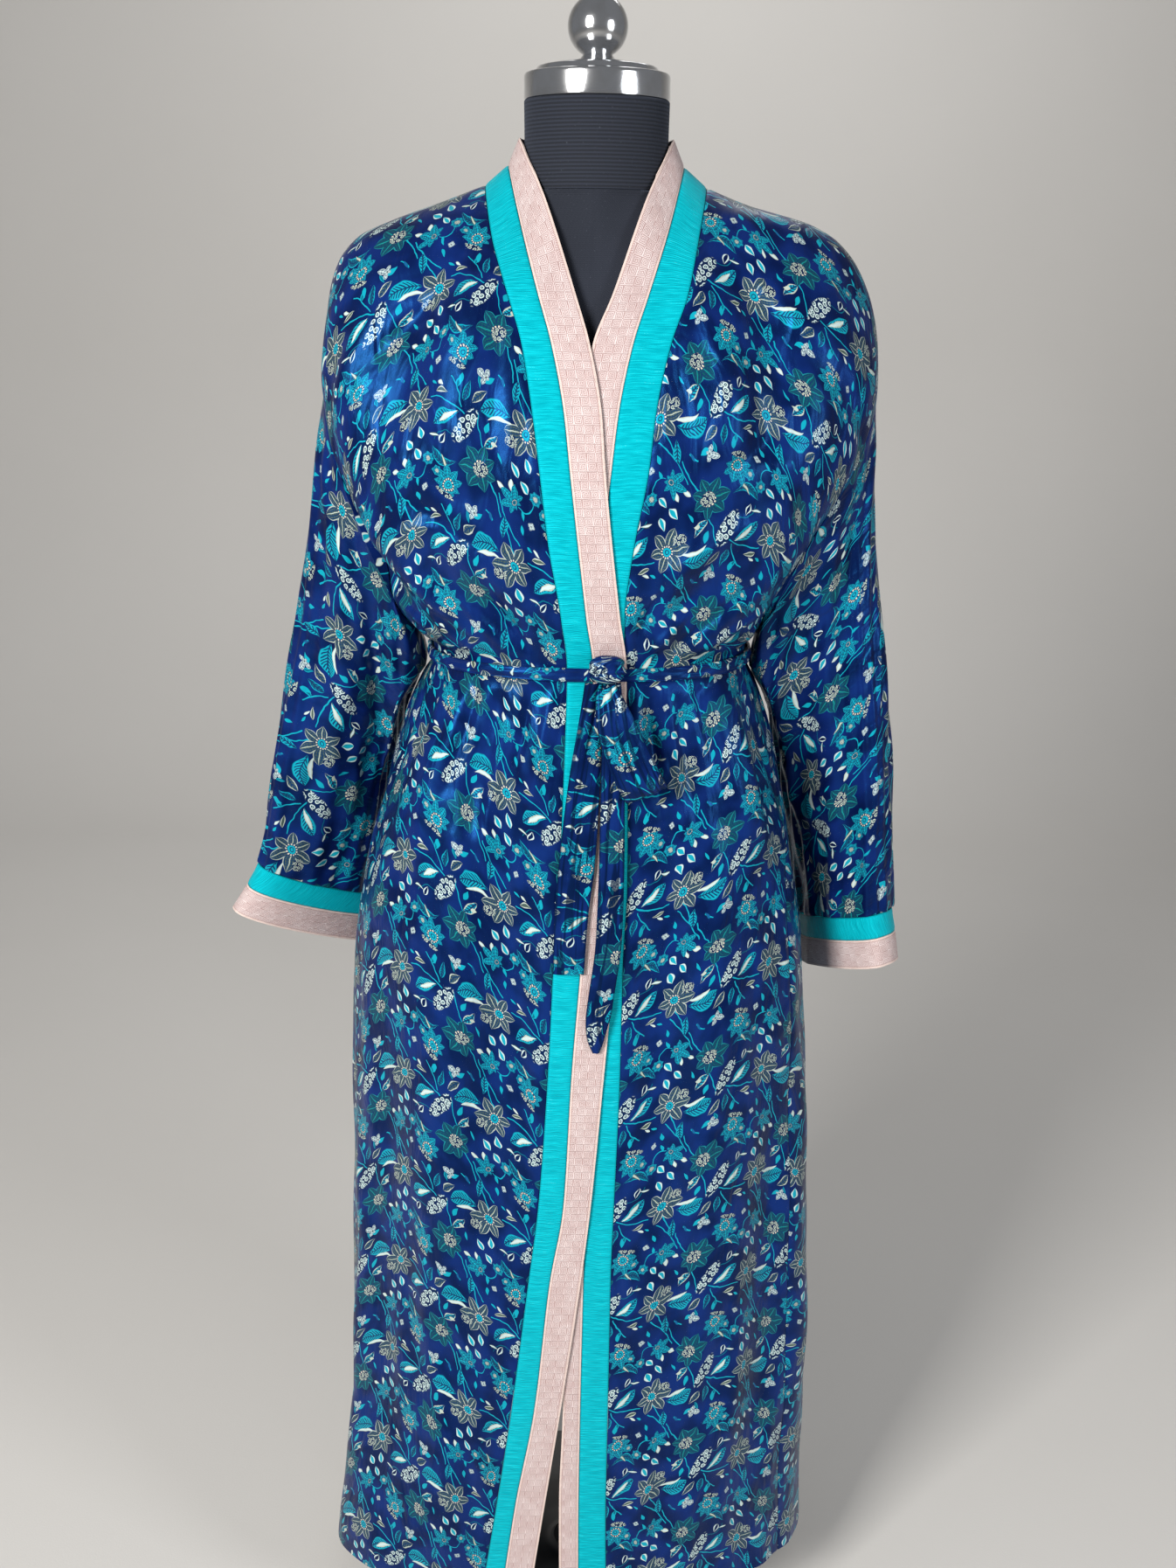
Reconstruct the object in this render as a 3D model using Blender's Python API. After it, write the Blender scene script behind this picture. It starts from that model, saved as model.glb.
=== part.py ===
"""Kimono robe of printed satin, worn open-necked and belted on a limbless dress form with a stand.

Metres, +Z up. The robe faces -Y, its wearer's right side is at -X. The origin is on the floor,
under the middle of the base plate.
"""

import math

import bmesh
import bpy
import numpy as np

# Driving dimensions in metres
CLOTH_WALL = 0.0016
SEAM_GAP = 0.0004
SEAT_GAP = 0.0003
TOP_LAYER_LIFT = 0.0030
HEM_HEIGHT = 0.100
UNDERARM_HEIGHT = 1.066
ARMHOLE_TOP_HEIGHT = 1.276
ARMHOLE_TUCK = 0.014
SLEEVE_CLEAR = 0.014
SEAM_SWING_TOP = 1.030
SEAM_SWING_DROP = 0.240
SEAM_SWING_ANGLE = math.radians(24)
NECK_SIDE_HEIGHT = 1.445
BELT_HEIGHT = 1.048
BELT_TALL = 0.012
BELT_THICK = 0.0046
NECK_RADIUS = 0.0610
NECK_BOTTOM = 1.4403
COLLAR_REACH = 0.0642
CAP_BOTTOM = 1.5115
CAP_TOP = 1.5420
BALL_RADIUS = 0.0250
POLE_RADIUS = 0.016
BASE_RADIUS = 0.190
BASE_THICK = 0.020
FORM_BOTTOM = 0.745

# The robe's level sections: half widths at the wearer's right and left, depths in front of and
# behind the shoulder line, and the squareness of the section's corners
BODY_COLUMNS = ("height", "right_half", "left_half", "front", "back", "squareness")
BODY_ROWS = (
    (1.445, 0.094, 0.094, 0.020, 0.070, 2.4),
    (1.432, 0.128, 0.128, 0.034, 0.094, 2.4),
    (1.416, 0.172, 0.184, 0.052, 0.104, 2.5),
    (1.402, 0.202, 0.208, 0.066, 0.109, 2.6),
    (1.380, 0.220, 0.226, 0.084, 0.113, 2.6),
    (1.350, 0.229, 0.238, 0.104, 0.117, 2.6),
    (1.316, 0.233, 0.244, 0.118, 0.120, 2.6),
    (1.276, 0.235, 0.247, 0.130, 0.121, 2.6),
    (1.240, 0.234, 0.242, 0.136, 0.120, 2.6),
    (1.200, 0.226, 0.228, 0.139, 0.118, 2.6),
    (1.160, 0.212, 0.206, 0.137, 0.114, 2.6),
    (1.120, 0.193, 0.183, 0.131, 0.110, 2.6),
    (1.085, 0.173, 0.164, 0.123, 0.106, 2.6),
    (1.066, 0.155, 0.150, 0.117, 0.103, 2.5),
    (1.056, 0.143, 0.142, 0.1135, 0.1005, 2.4),
    (1.040, 0.143, 0.142, 0.1130, 0.1005, 2.4),
    (1.020, 0.152, 0.149, 0.1150, 0.104, 2.5),
    (0.985, 0.166, 0.160, 0.1190, 0.112, 2.6),
    (0.940, 0.180, 0.173, 0.1230, 0.121, 2.7),
    (0.890, 0.195, 0.186, 0.1265, 0.129, 2.9),
    (0.840, 0.206, 0.196, 0.1290, 0.135, 3.0),
    (0.780, 0.215, 0.206, 0.1310, 0.139, 3.1),
    (0.700, 0.221, 0.212, 0.1330, 0.142, 3.2),
    (0.450, 0.229, 0.225, 0.1370, 0.146, 3.3),
    (0.300, 0.235, 0.233, 0.1400, 0.149, 3.3),
    (0.180, 0.242, 0.235, 0.1420, 0.151, 3.2),
    (0.100, 0.254, 0.238, 0.1440, 0.152, 3.0),
)

# The front borders: places across the front of each strip's outer edge, of the seam between the
# strips, and of the free inner edge
BORDER_COLUMNS = (
    "height", "right_outer", "right_seam", "right_inner", "left_outer", "left_seam", "left_inner",
)
BORDER_ROWS = (
    (1.360, -0.0705, -0.0460, -0.0155, 0.0755, 0.0445, 0.0150),
    (1.320, -0.0580, -0.0340, -0.0030, 0.0620, 0.0315, -0.0010),
    (1.270, -0.0492, -0.0237, 0.0068, 0.0515, 0.0212, -0.0090),
    (1.220, -0.0425, -0.0178, 0.0110, 0.0460, 0.0155, -0.0145),
    (1.160, -0.0350, -0.0107, 0.0175, 0.0355, 0.0095, -0.0200),
    (1.100, -0.0248, -0.0035, 0.0248, 0.0292, 0.0040, -0.0240),
    (1.045, -0.0192, 0.0030, 0.0315, 0.0300, 0.0030, -0.0250),
    (0.940, -0.0218, 0.0030, 0.0320, 0.0350, 0.0075, -0.0210),
    (0.860, -0.0245, 0.0005, 0.0300, 0.0362, 0.0090, -0.0190),
    (0.780, -0.0291, -0.0045, 0.0255, 0.0336, 0.0070, -0.0210),
    (0.677, -0.0333, -0.0115, 0.0182, 0.0331, 0.0060, -0.0225),
    (0.540, -0.0416, -0.0180, 0.0078, 0.0299, 0.0030, -0.0240),
    (0.455, -0.0510, -0.0305, -0.0010, 0.0281, 0.0019, -0.0200),
    (0.313, -0.0670, -0.0445, -0.0187, 0.0278, 0.0005, -0.0168),
    (0.206, -0.0810, -0.0622, -0.0330, 0.0275, 0.0000, -0.0195),
    (0.100, -0.0960, -0.0760, -0.0470, 0.0292, 0.0008, -0.0187),
)

# The borders round the neck, at the wearer's left: each line's place from the centre back, over
# the side of the neck, to the front of the shoulder
COLLAR_COLUMNS = ("outer", "seam", "inner")
COLLAR_ROWS = (
    ((0.000, 0.098, 1.430), (0.000, 0.083, 1.452), (0.0000, 0.0670, 1.476)),
    ((0.060, 0.079, 1.436), (0.053, 0.063, 1.457), (0.0470, 0.0490, 1.481)),
    ((0.094, 0.000, 1.445), (0.0745, -0.002, 1.461), (0.0652, 0.000, 1.483)),
    ((0.085, -0.064, 1.402), (0.062, -0.0585, 1.414), (0.0430, -0.0525, 1.437)),
)

# Large folds of the body: from one place to another, by angle round the body from the centre
# front towards the wearer's left and by height; how far the fold stands out, and its half width
FOLD_COLUMNS = ("angle", "height", "end_angle", "end_height", "rise", "half_width")
FOLD_ROWS = (
    (-60, 1.400, -52, 1.230, -0.0105, 0.024),
    (-47, 1.390, -41, 1.200, 0.0085, 0.026),
    (-80, 1.200, -57, 1.065, -0.0128, 0.020),
    (-72, 1.190, -44, 1.065, 0.0090, 0.020),
    (-60, 1.140, -16, 1.068, -0.0066, 0.020),
    (-48, 1.200, -20, 1.090, 0.0050, 0.020),
    (58, 1.400, 50, 1.230, -0.0105, 0.024),
    (43, 1.380, 38, 1.190, 0.0085, 0.026),
    (82, 1.180, 70, 1.070, -0.0120, 0.020),
    (66, 1.170, 44, 1.068, 0.0075, 0.020),
    (50, 1.130, 16, 1.085, -0.0055, 0.020),
    (44, 1.190, 20, 1.110, 0.0044, 0.020),
    (-52, 1.030, -60, 0.860, 0.0095, 0.020),
    (-38, 1.030, -40, 0.900, -0.0076, 0.020),
    (50, 1.030, 58, 0.880, 0.0085, 0.020),
    (36, 1.030, 38, 0.920, -0.0066, 0.020),
    (-62, 0.800, -62, 0.130, -0.0125, 0.026),
    (-46, 0.940, -48, 0.330, 0.0110, 0.030),
    (-29, 0.960, -32, 0.500, -0.0085, 0.026),
    (61, 0.700, 57, 0.100, -0.0133, 0.026),
    (44, 0.950, 43, 0.330, 0.0105, 0.030),
    (70, 0.700, 72, 0.200, 0.0076, 0.022),
    (28, 0.960, 27, 0.480, -0.0075, 0.026),
    (-44, 0.360, -48, 0.090, 0.0114, 0.030),
    (38, 0.400, 42, 0.090, 0.0095, 0.026),
    (-88, 0.900, -92, 0.200, 0.0076, 0.030),
    (-64, 0.270, -68, -0.060, 0.0160, 0.040),
    (104, 1.036, 106, 0.900, 0.0130, 0.030),
    (-104, 1.036, -106, 0.900, 0.0130, 0.030),
    (180, 1.240, 180, 1.070, -0.0090, 0.020),
    (158, 1.230, 166, 1.066, 0.0133, 0.020),
    (-156, 1.220, -166, 1.066, 0.0123, 0.020),
    (138, 1.200, 150, 1.066, -0.0095, 0.020),
    (-134, 1.210, -148, 1.066, -0.0114, 0.020),
    (116, 1.190, 134, 1.068, 0.0133, 0.020),
    (-112, 1.200, -132, 1.068, 0.0142, 0.020),
    (172, 1.030, 168, 0.820, 0.0114, 0.020),
    (-170, 1.030, -160, 0.840, -0.0095, 0.020),
    (150, 1.030, 142, 0.860, -0.0095, 0.020),
    (-148, 1.030, -138, 0.800, 0.0114, 0.020),
    (128, 1.030, 118, 0.880, 0.0114, 0.020),
    (-122, 1.030, -112, 0.880, 0.0095, 0.020),
    (146, 0.800, 144, 0.090, 0.0133, 0.030),
    (168, 0.700, 170, 0.090, -0.0133, 0.026),
    (-164, 0.760, -166, 0.090, 0.0133, 0.030),
    (-136, 0.720, -134, 0.090, -0.0123, 0.026),
    (116, 0.620, 114, 0.090, -0.0114, 0.024),
    (-110, 0.600, -112, 0.090, 0.0114, 0.026),
)
FOLD_GIRTH_RADIUS = 0.19

# Sleeves: lines of the folded top edge and of the underarm edge, from the armhole (along 0) to
# the strips at the end, and how far the front and back layers stand off the flat between them
SLEEVE_COLUMNS = ("along", "top", "under", "front_bulge", "back_bulge")
RIGHT_SLEEVE_ROWS = (
    (0.00, (0.2350, 0.000, 1.276), (0.155, 0.000, 1.066), 0.060, 0.054),
    (0.12, (0.2430, -0.001, 1.228), (0.162, 0.008, 1.040), 0.057, 0.050),
    (0.25, (0.2515, -0.002, 1.175), (0.168, 0.022, 1.008), 0.051, 0.046),
    (0.50, (0.2710, 0.000, 1.062), (0.180, 0.060, 0.942), 0.041, 0.036),
    (0.75, (0.2945, 0.004, 0.942), (0.198, 0.092, 0.862), 0.032, 0.030),
    (1.00, (0.3190, 0.010, 0.822), (0.214, 0.103, 0.764), 0.025, 0.026),
    (1.06, (0.3310, 0.010, 0.800), (0.213, 0.106, 0.739), 0.025, 0.026),
    (1.13, (0.3470, 0.010, 0.775), (0.212, 0.109, 0.709), 0.026, 0.027),
)
LEFT_SLEEVE_ROWS = (
    (0.00, (0.2470, 0.000, 1.276), (0.150, 0.000, 1.066), 0.060, 0.054),
    (0.12, (0.2505, -0.006, 1.221), (0.157, 0.008, 1.040), 0.054, 0.050),
    (0.25, (0.2540, -0.014, 1.160), (0.164, 0.022, 1.006), 0.046, 0.046),
    (0.50, (0.2630, -0.030, 1.045), (0.177, 0.058, 0.940), 0.034, 0.040),
    (0.75, (0.2690, -0.042, 0.925), (0.199, 0.088, 0.858), 0.026, 0.040),
    (1.00, (0.2750, -0.047, 0.802), (0.222, 0.096, 0.750), 0.022, 0.040),
    (1.06, (0.2795, -0.048, 0.779), (0.222, 0.098, 0.726), 0.022, 0.041),
    (1.13, (0.2845, -0.049, 0.750), (0.222, 0.100, 0.697), 0.023, 0.042),
)
CUFF_SEAM = 1.06
CUFF_END = 1.13

# Folds of a sleeve: degrees round it from the top edge over the front, place along it
SLEEVE_FOLD_COLUMNS = ("around", "along", "end_around", "end_along", "rise", "half_around")
RIGHT_SLEEVE_FOLDS = (
    (96, 0.04, 118, 0.80, -0.0108, 15),
    (62, 0.10, 70, 0.95, 0.0035, 18),
    (146, 0.10, 150, 0.55, 0.0060, 14),
    (232, 0.06, 246, 0.90, -0.0080, 18),
    (290, 0.15, 282, 0.95, 0.0050, 18),
)
LEFT_SLEEVE_FOLDS = (
    (88, 0.04, 100, 0.85, -0.0080, 16),
    (52, 0.12, 46, 0.95, -0.0040, 14),
    (140, 0.10, 146, 0.55, 0.0060, 14),
    (236, 0.08, 250, 0.90, -0.0090, 18),
    (300, 0.15, 306, 0.95, 0.0040, 18),
)

# Torso of the dress form
FORM_COLUMNS = ("height", "half", "front", "back", "squareness")
FORM_ROWS = (
    (1.440, 0.0612, 0.0612, 0.0612, 2.0),
    (1.436, 0.0980, 0.0616, 0.0640, 1.35),
    (1.430, 0.1272, 0.0625, 0.0680, 1.25),
    (1.422, 0.1470, 0.0637, 0.0740, 1.30),
    (1.408, 0.1660, 0.0665, 0.0860, 1.50),
    (1.390, 0.1790, 0.0735, 0.0940, 1.80),
    (1.360, 0.1850, 0.0895, 0.1020, 2.1),
    (1.320, 0.1880, 0.1040, 0.1070, 2.3),
    (1.260, 0.1800, 0.1180, 0.1080, 2.3),
    (1.200, 0.1640, 0.1280, 0.1050, 2.3),
    (1.140, 0.1480, 0.1230, 0.0980, 2.3),
    (1.085, 0.1370, 0.1110, 0.0930, 2.3),
    (1.046, 0.1310, 0.1050, 0.0900, 2.3),
    (0.990, 0.1420, 0.1080, 0.0980, 2.4),
    (0.930, 0.1580, 0.1120, 0.1090, 2.4),
    (0.860, 0.1700, 0.1160, 0.1190, 2.4),
    (0.790, 0.1720, 0.1160, 0.1210, 2.4),
    (0.745, 0.1680, 0.1140, 0.1180, 2.4),
)

# Belt tails and loop: places of the middle line and the strip's width there, down from the knot;
# clear is the distance in front of the robe
STRIP_COLUMNS = ("across", "height", "width", "clear")
TAIL_RIGHT_ROWS = (
    (0.0040, 1.0431, 0.013, 0.0085),
    (0.0030, 1.0340, 0.014, 0.0075),
    (0.0010, 1.0100, 0.018, 0.0045),
    (-0.0060, 0.9500, 0.022, 0.0040),
    (-0.0125, 0.8800, 0.024, 0.0036),
    (-0.0150, 0.8300, 0.025, 0.0034),
    (-0.0160, 0.7780, 0.025, 0.0034),
)
TAIL_LEFT_ROWS = (
    (0.0190, 1.0431, 0.013, 0.0085),
    (0.0205, 1.0100, 0.017, 0.0075),
    (0.0215, 0.9500, 0.020, 0.0060),
    (0.0218, 0.8900, 0.021, 0.0045),
    (0.0205, 0.8150, 0.022, 0.0040),
    (0.0130, 0.7450, 0.022, 0.0038),
    (0.0100, 0.7150, 0.014, 0.0038),
    (0.0104, 0.7020, 0.004, 0.0038),
)
LOOP_ROWS = (
    (0.0140, 1.0402, 0.016, 0.0168),
    (0.0215, 1.0150, 0.030, 0.0225),
    (0.0320, 0.9880, 0.036, 0.0240),
    (0.0430, 0.9640, 0.038, 0.0240),
    (0.0490, 0.9520, 0.038, 0.0205),
    (0.0505, 0.9490, 0.038, 0.0170),
    (0.0480, 0.9530, 0.038, 0.0140),
    (0.0400, 0.9700, 0.036, 0.0125),
    (0.0290, 0.9960, 0.032, 0.0130),
    (0.0200, 1.0220, 0.024, 0.0136),
    (0.0150, 1.0400, 0.015, 0.0136),
)
LOOP_LEAN = math.radians(24)

# Knot
KNOT_CENTRE = (0.0150, 1.0555)
KNOT_HALF = (0.0165, 0.0078, 0.0125)
KNOT_SINK = 0.0007

# Colours
SATIN_BLUE = (0.010, 0.022, 0.120)
TURQUOISE = (0.000, 0.420, 0.520)
BROCADE_PINK = (0.620, 0.450, 0.430)
FORM_NAVY = (0.012, 0.016, 0.028)
CHROME = (0.620, 0.630, 0.650)
STAND_BLACK = (0.020, 0.020, 0.022)

RIGHT = -1
LEFT = 1
FRONT = -1
BACK = 1


def smooth(at, places, values):
    """Value at each place on a smooth curve through the points, with no overshoot between them."""
    places = np.asarray(places, float)
    values = np.asarray(values, float)
    if places[0] > places[-1]:
        places = places[::-1]
        values = values[::-1]
    step = np.diff(places)
    slope = np.diff(values) / step
    same_way = slope[:-1] * slope[1:] > 0
    before = 2 * step[1:] + step[:-1]
    after = step[1:] + 2 * step[:-1]
    safe = np.where(same_way, slope[:-1], 1.0), np.where(same_way, slope[1:], 1.0)
    inner = np.where(same_way, (before + after) / (before / safe[0] + after / safe[1]), 0.0)
    tangent = np.concatenate(([slope[0]], inner, [slope[-1]]))
    at = np.clip(np.asarray(at, float), places[0], places[-1])
    k = np.clip(np.searchsorted(places, at) - 1, 0, len(step) - 1)
    t = (at - places[k]) / step[k]
    return (
        values[k] * (1 + 2 * t) * (1 - t) ** 2
        + tangent[k] * step[k] * t * (1 - t) ** 2
        + values[k + 1] * t**2 * (3 - 2 * t)
        - tangent[k + 1] * step[k] * t**2 * (1 - t)
    )


def column(rows, names, name):
    """One named column of a table."""
    return [row[names.index(name)] for row in rows]


def body(name, height):
    """A named size of the robe's level section at each height."""
    return smooth(height, column(BODY_ROWS, BODY_COLUMNS, "height"), column(BODY_ROWS, BODY_COLUMNS, name))


def half_width(side, height):
    return body("right_half" if side == RIGHT else "left_half", height)


def fold_rise(angle, height):
    """How far the folds lift the cloth at an angle round the body, in degrees, and a height."""
    rise = np.zeros(np.broadcast(angle, height).shape)
    for start_angle, start_height, end_angle, end_height, peak, half in FOLD_ROWS:
        turn = (angle - start_angle + 180) % 360 - 180
        across = np.radians(turn) * FOLD_GIRTH_RADIUS
        down = height - start_height
        run_across = math.radians(end_angle - start_angle) * FOLD_GIRTH_RADIUS
        run_down = end_height - start_height
        length = math.hypot(run_across, run_down)
        along = (across * run_across + down * run_down) / length**2
        off = (across * run_down - down * run_across) / length
        fade = np.sin(math.pi * np.clip(along, 0, 1)) ** 0.7
        rise = rise + peak * fade * np.exp(-((off / half) ** 2))
    return rise


def wall_point(across, height, face, lift=0.0):
    """Point of the robe's front or back: a level squared oval, moved out by the folds and a lift."""
    across = np.asarray(across, float)
    height = np.asarray(height, float)
    half = np.where(across < 0, half_width(RIGHT, height), half_width(LEFT, height))
    depth = body("front" if face == FRONT else "back", height)
    square = body("squareness", height)
    share = np.clip(np.abs(across) / half, 0, 1)
    reach = (1 - share**square) ** (1 / square)
    out_x = np.sign(across) * share ** (square - 1) / half
    out_y = face * reach ** (square - 1) / depth
    size = np.hypot(out_x, out_y)
    y = face * depth * reach
    angle = np.degrees(np.arctan2(across, -y))
    rise = fold_rise(angle, height) + lift
    return np.stack([across + out_x / size * rise, y + out_y / size * rise, height + 0 * across], axis=-1)


def border_lines(side):
    """Outer, seam and inner lines of a front border, each a list of points from the centre back
    of the neck down to the hem."""
    label = "right_" if side == RIGHT else "left_"
    lift = TOP_LAYER_LIFT if side == RIGHT else 0.0
    heights = np.array(column(BORDER_ROWS, BORDER_COLUMNS, "height"))
    lines = []
    for k, name in enumerate(COLLAR_COLUMNS):
        collar = np.array([row[k] for row in COLLAR_ROWS]) * (side, 1, 1)
        across = np.array(column(BORDER_ROWS, BORDER_COLUMNS, label + name))
        lines.append(np.concatenate([collar, wall_point(across, heights, FRONT, lift)]))
    return lines


def border_grid(side, first, second, stations, columns):
    """Grid of points between two of the border's lines, on the front's curve below the collar."""
    lines = border_lines(side)
    index = np.arange(len(lines[0]))
    lift = TOP_LAYER_LIFT if side == RIGHT else 0.0
    edge = [np.stack([smooth(stations, index, lines[k][:, axis]) for axis in range(3)], -1) for k in (first, second)]
    share = np.linspace(0, 1, columns)[None, :, None]
    grid = edge[0][:, None] * (1 - share) + edge[1][:, None] * share
    on_wall = wall_point(grid[..., 0], grid[..., 2], FRONT, lift)
    first_wall_station = len(COLLAR_ROWS)
    blend = np.clip(stations - first_wall_station + 0.6, 0, 1)[:, None, None]
    grid = grid * (1 - blend) + on_wall * blend
    reach = np.hypot(grid[..., 0], grid[..., 1])
    spread = np.where(grid[..., 2] > NECK_BOTTOM - 0.012, np.maximum(COLLAR_REACH / reach, 1), 1)
    grid[..., 0] *= spread
    grid[..., 1] *= spread
    return grid


def outer_line(side, heights):
    """Points of the border's outer line, in front of the shoulder line, at the given heights."""
    stations = np.linspace(2, len(COLLAR_ROWS) + len(BORDER_ROWS) - 1, 2000)
    line = border_grid(side, 0, 1, stations, 2)[:, 0]
    return np.stack([np.interp(-heights, -line[:, 2], line[:, axis]) for axis in range(2)] + [heights], -1), (
        np.interp(-heights, -line[:, 2], stations)
    )


def armhole_point(side, turn, face):
    """Point of the armhole seam: turn 0 is its top at the shoulder fold, turn 1 the underarm."""
    drop = (1 - np.cos(math.pi * turn)) / 2
    height = ARMHOLE_TOP_HEIGHT + (UNDERARM_HEIGHT - ARMHOLE_TOP_HEIGHT) * drop
    across = side * (half_width(side, height) - ARMHOLE_TUCK * np.sin(math.pi * drop))
    return wall_point(across, height, face)


# Levels where the panels have rows: shares of the way from shoulder to underarm, then heights
UPPER_SHARES = np.array([0, 0.04, 0.11, 0.21, 0.32, 0.44, 0.56, 0.68, 0.79, 0.90, 1.0])
NECK_STATIONS = np.linspace(0, 2, 5)
FRONT_COLUMNS = 11
LOWER_HEIGHTS = np.array([
    1.056, 1.040, 1.020, 0.985, 0.940, 0.890, 0.840, 0.780, 0.710,
    0.630, 0.550, 0.470, 0.390, 0.310, 0.240, 0.170, HEM_HEIGHT,
])


def shoulder_line(side, share):
    """Across and height of the shoulder fold, from the neck side (0) to the armhole's top (1)."""
    heights = np.linspace(NECK_SIDE_HEIGHT, ARMHOLE_TOP_HEIGHT, 400)
    across = half_width(side, heights)
    length = np.concatenate(([0], np.cumsum(np.hypot(np.diff(across), np.diff(heights)))))
    at = np.asarray(share) * length[-1]
    return np.interp(at, length, across), np.interp(at, length, heights)


def front_heights(side):
    """Heights of the front panel's rows at its border edge."""
    drop = UPPER_SHARES**1.15
    upper = NECK_SIDE_HEIGHT + (UNDERARM_HEIGHT - NECK_SIDE_HEIGHT) * drop
    return np.concatenate([upper, LOWER_HEIGHTS])


def seam_turn(side, height):
    """Angle of the side seam from the centre front. At the wearer's left it swings to the front
    below the waist."""
    drop = np.clip((SEAM_SWING_TOP - np.asarray(height, float)) / SEAM_SWING_DROP, 0, 1)
    swing = SEAM_SWING_ANGLE if side == LEFT else 0.0
    return math.pi / 2 - swing * drop**2 * (3 - 2 * drop)


def turn_point(side, height, turn, lift=0.0):
    """Point of the body in a direction turned from the centre front, round to the centre back."""
    ahead = turn <= math.pi / 2
    front = side * oval_across(side, height, np.minimum(turn, math.pi / 2), FRONT)
    back = side * oval_across(side, height, math.pi - np.maximum(turn, math.pi / 2), BACK)
    return np.where(
        ahead[:, None],
        wall_point(front, height, FRONT, lift),
        wall_point(back, height, BACK, lift),
    )


def front_panel_grid(side, columns):
    """Front panel: rows from the shoulder fold to the hem, columns from the border to the side."""
    across_share = np.linspace(0, 1, columns)
    inner, _ = outer_line(side, front_heights(side))
    upper_count = len(UPPER_SHARES)
    ridge_x, ridge_z = shoulder_line(side, across_share)
    side_x = half_width(side, UNDERARM_HEIGHT)
    level = wall_point(inner[:, 0], inner[:, 2], FRONT)
    rows = []
    inner_drop = (NECK_SIDE_HEIGHT - inner[:upper_count, 2]) / (NECK_SIDE_HEIGHT - UNDERARM_HEIGHT)
    top_place = (ridge_x - ridge_x[0]) / (ridge_x[-1] - ridge_x[0])
    start = math.atan2(abs(level[upper_count - 1, 0]), -level[upper_count - 1, 1])
    turn = start + (math.pi / 2 - start) * across_share
    bottom_x = oval_across(side, UNDERARM_HEIGHT, turn, FRONT)
    bottom_place = (bottom_x - bottom_x[0]) / (bottom_x[-1] - bottom_x[0])
    for k, share in enumerate(UPPER_SHARES):
        edge = armhole_point(side, share, FRONT)
        outer_drop = (1 - math.cos(math.pi * share)) / 2
        drop = inner_drop[k] * (1 - across_share) + outer_drop * across_share
        height = ridge_z + (UNDERARM_HEIGHT - ridge_z) * drop
        place = top_place * (1 - share) + bottom_place * share
        edge_x = side * (half_width(side, height[-1]) - ARMHOLE_TUCK * math.sin(math.pi * outer_drop))
        across = inner[k, 0] + (edge_x - inner[k, 0]) * place
        row = wall_point(across, height, FRONT)
        row[-1] = edge
        rows.append(row)
    for k, height in enumerate(LOWER_HEIGHTS):
        here = level[upper_count + k]
        start = math.atan2(abs(inner[upper_count + k, 0]), -here[1])
        start = start * np.sign(inner[upper_count + k, 0]) * side
        turn = start + (seam_turn(side, height) - start) * across_share
        rows.append(turn_point(side, height, turn))
    grid = np.array(rows)
    shift = inner - grid[:, 0]
    fade = (1 - across_share) ** 2
    return grid + shift[:, None] * fade[None, :, None]


def oval_across(side, height, turn, face):
    """Distance across, from the middle, of the level section in a direction turned from the
    centre front or back."""
    half = half_width(side, height)
    depth = body("front" if face == FRONT else "back", height)
    square = body("squareness", height)
    sine = np.sin(turn)
    cosine = np.cos(turn)
    size = (np.abs(cosine / depth) ** square + np.abs(sine / half) ** square) ** (-1 / square)
    return size * sine


def back_panel_half(side, neck_stations, shoulder_columns):
    """Half of the back panel: rows from neck and shoulder to the hem, columns from the centre
    back to the side."""
    neck_columns = len(neck_stations)
    neck_line = border_grid(side, 0, 1, neck_stations, 2)[:, 0]
    ridge_x, ridge_z = shoulder_line(side, np.linspace(0, 1, shoulder_columns)[1:])
    across_share = np.linspace(0, 1, neck_columns + shoulder_columns - 1)
    top = np.concatenate([
        neck_line,
        np.stack([side * ridge_x, 0 * ridge_x, ridge_z], -1),
    ])
    top_place = np.abs(top[:, 0]) / abs(top[-1, 0])
    turn = math.pi / 2 * across_share
    bottom_place = oval_across(side, UNDERARM_HEIGHT, turn, BACK) / half_width(side, UNDERARM_HEIGHT)
    rows = []
    for share in UPPER_SHARES:
        outer_drop = (1 - math.cos(math.pi * share)) / 2
        inner_drop = share**1.15
        drop = inner_drop * (1 - across_share) + outer_drop * across_share
        height = top[:, 2] + (UNDERARM_HEIGHT - top[:, 2]) * drop
        edge_x = half_width(side, height[-1]) - ARMHOLE_TUCK * math.sin(math.pi * outer_drop)
        place = top_place * (1 - share) + bottom_place * share
        row = wall_point(side * edge_x * place, height, BACK)
        row[-1] = armhole_point(side, share, BACK)
        rows.append(row)
    rows[0][:neck_columns] = neck_line
    settle = top[:neck_columns] - wall_point(top[:neck_columns, 0], top[:neck_columns, 2], BACK)
    for k, share in enumerate(UPPER_SHARES[1:], start=1):
        rows[k][:neck_columns] += settle * (1 - share) ** 4
    for height in LOWER_HEIGHTS:
        rows.append(turn_point(side, height, math.pi - (math.pi - seam_turn(side, height)) * across_share))
    return np.array(rows)


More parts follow.
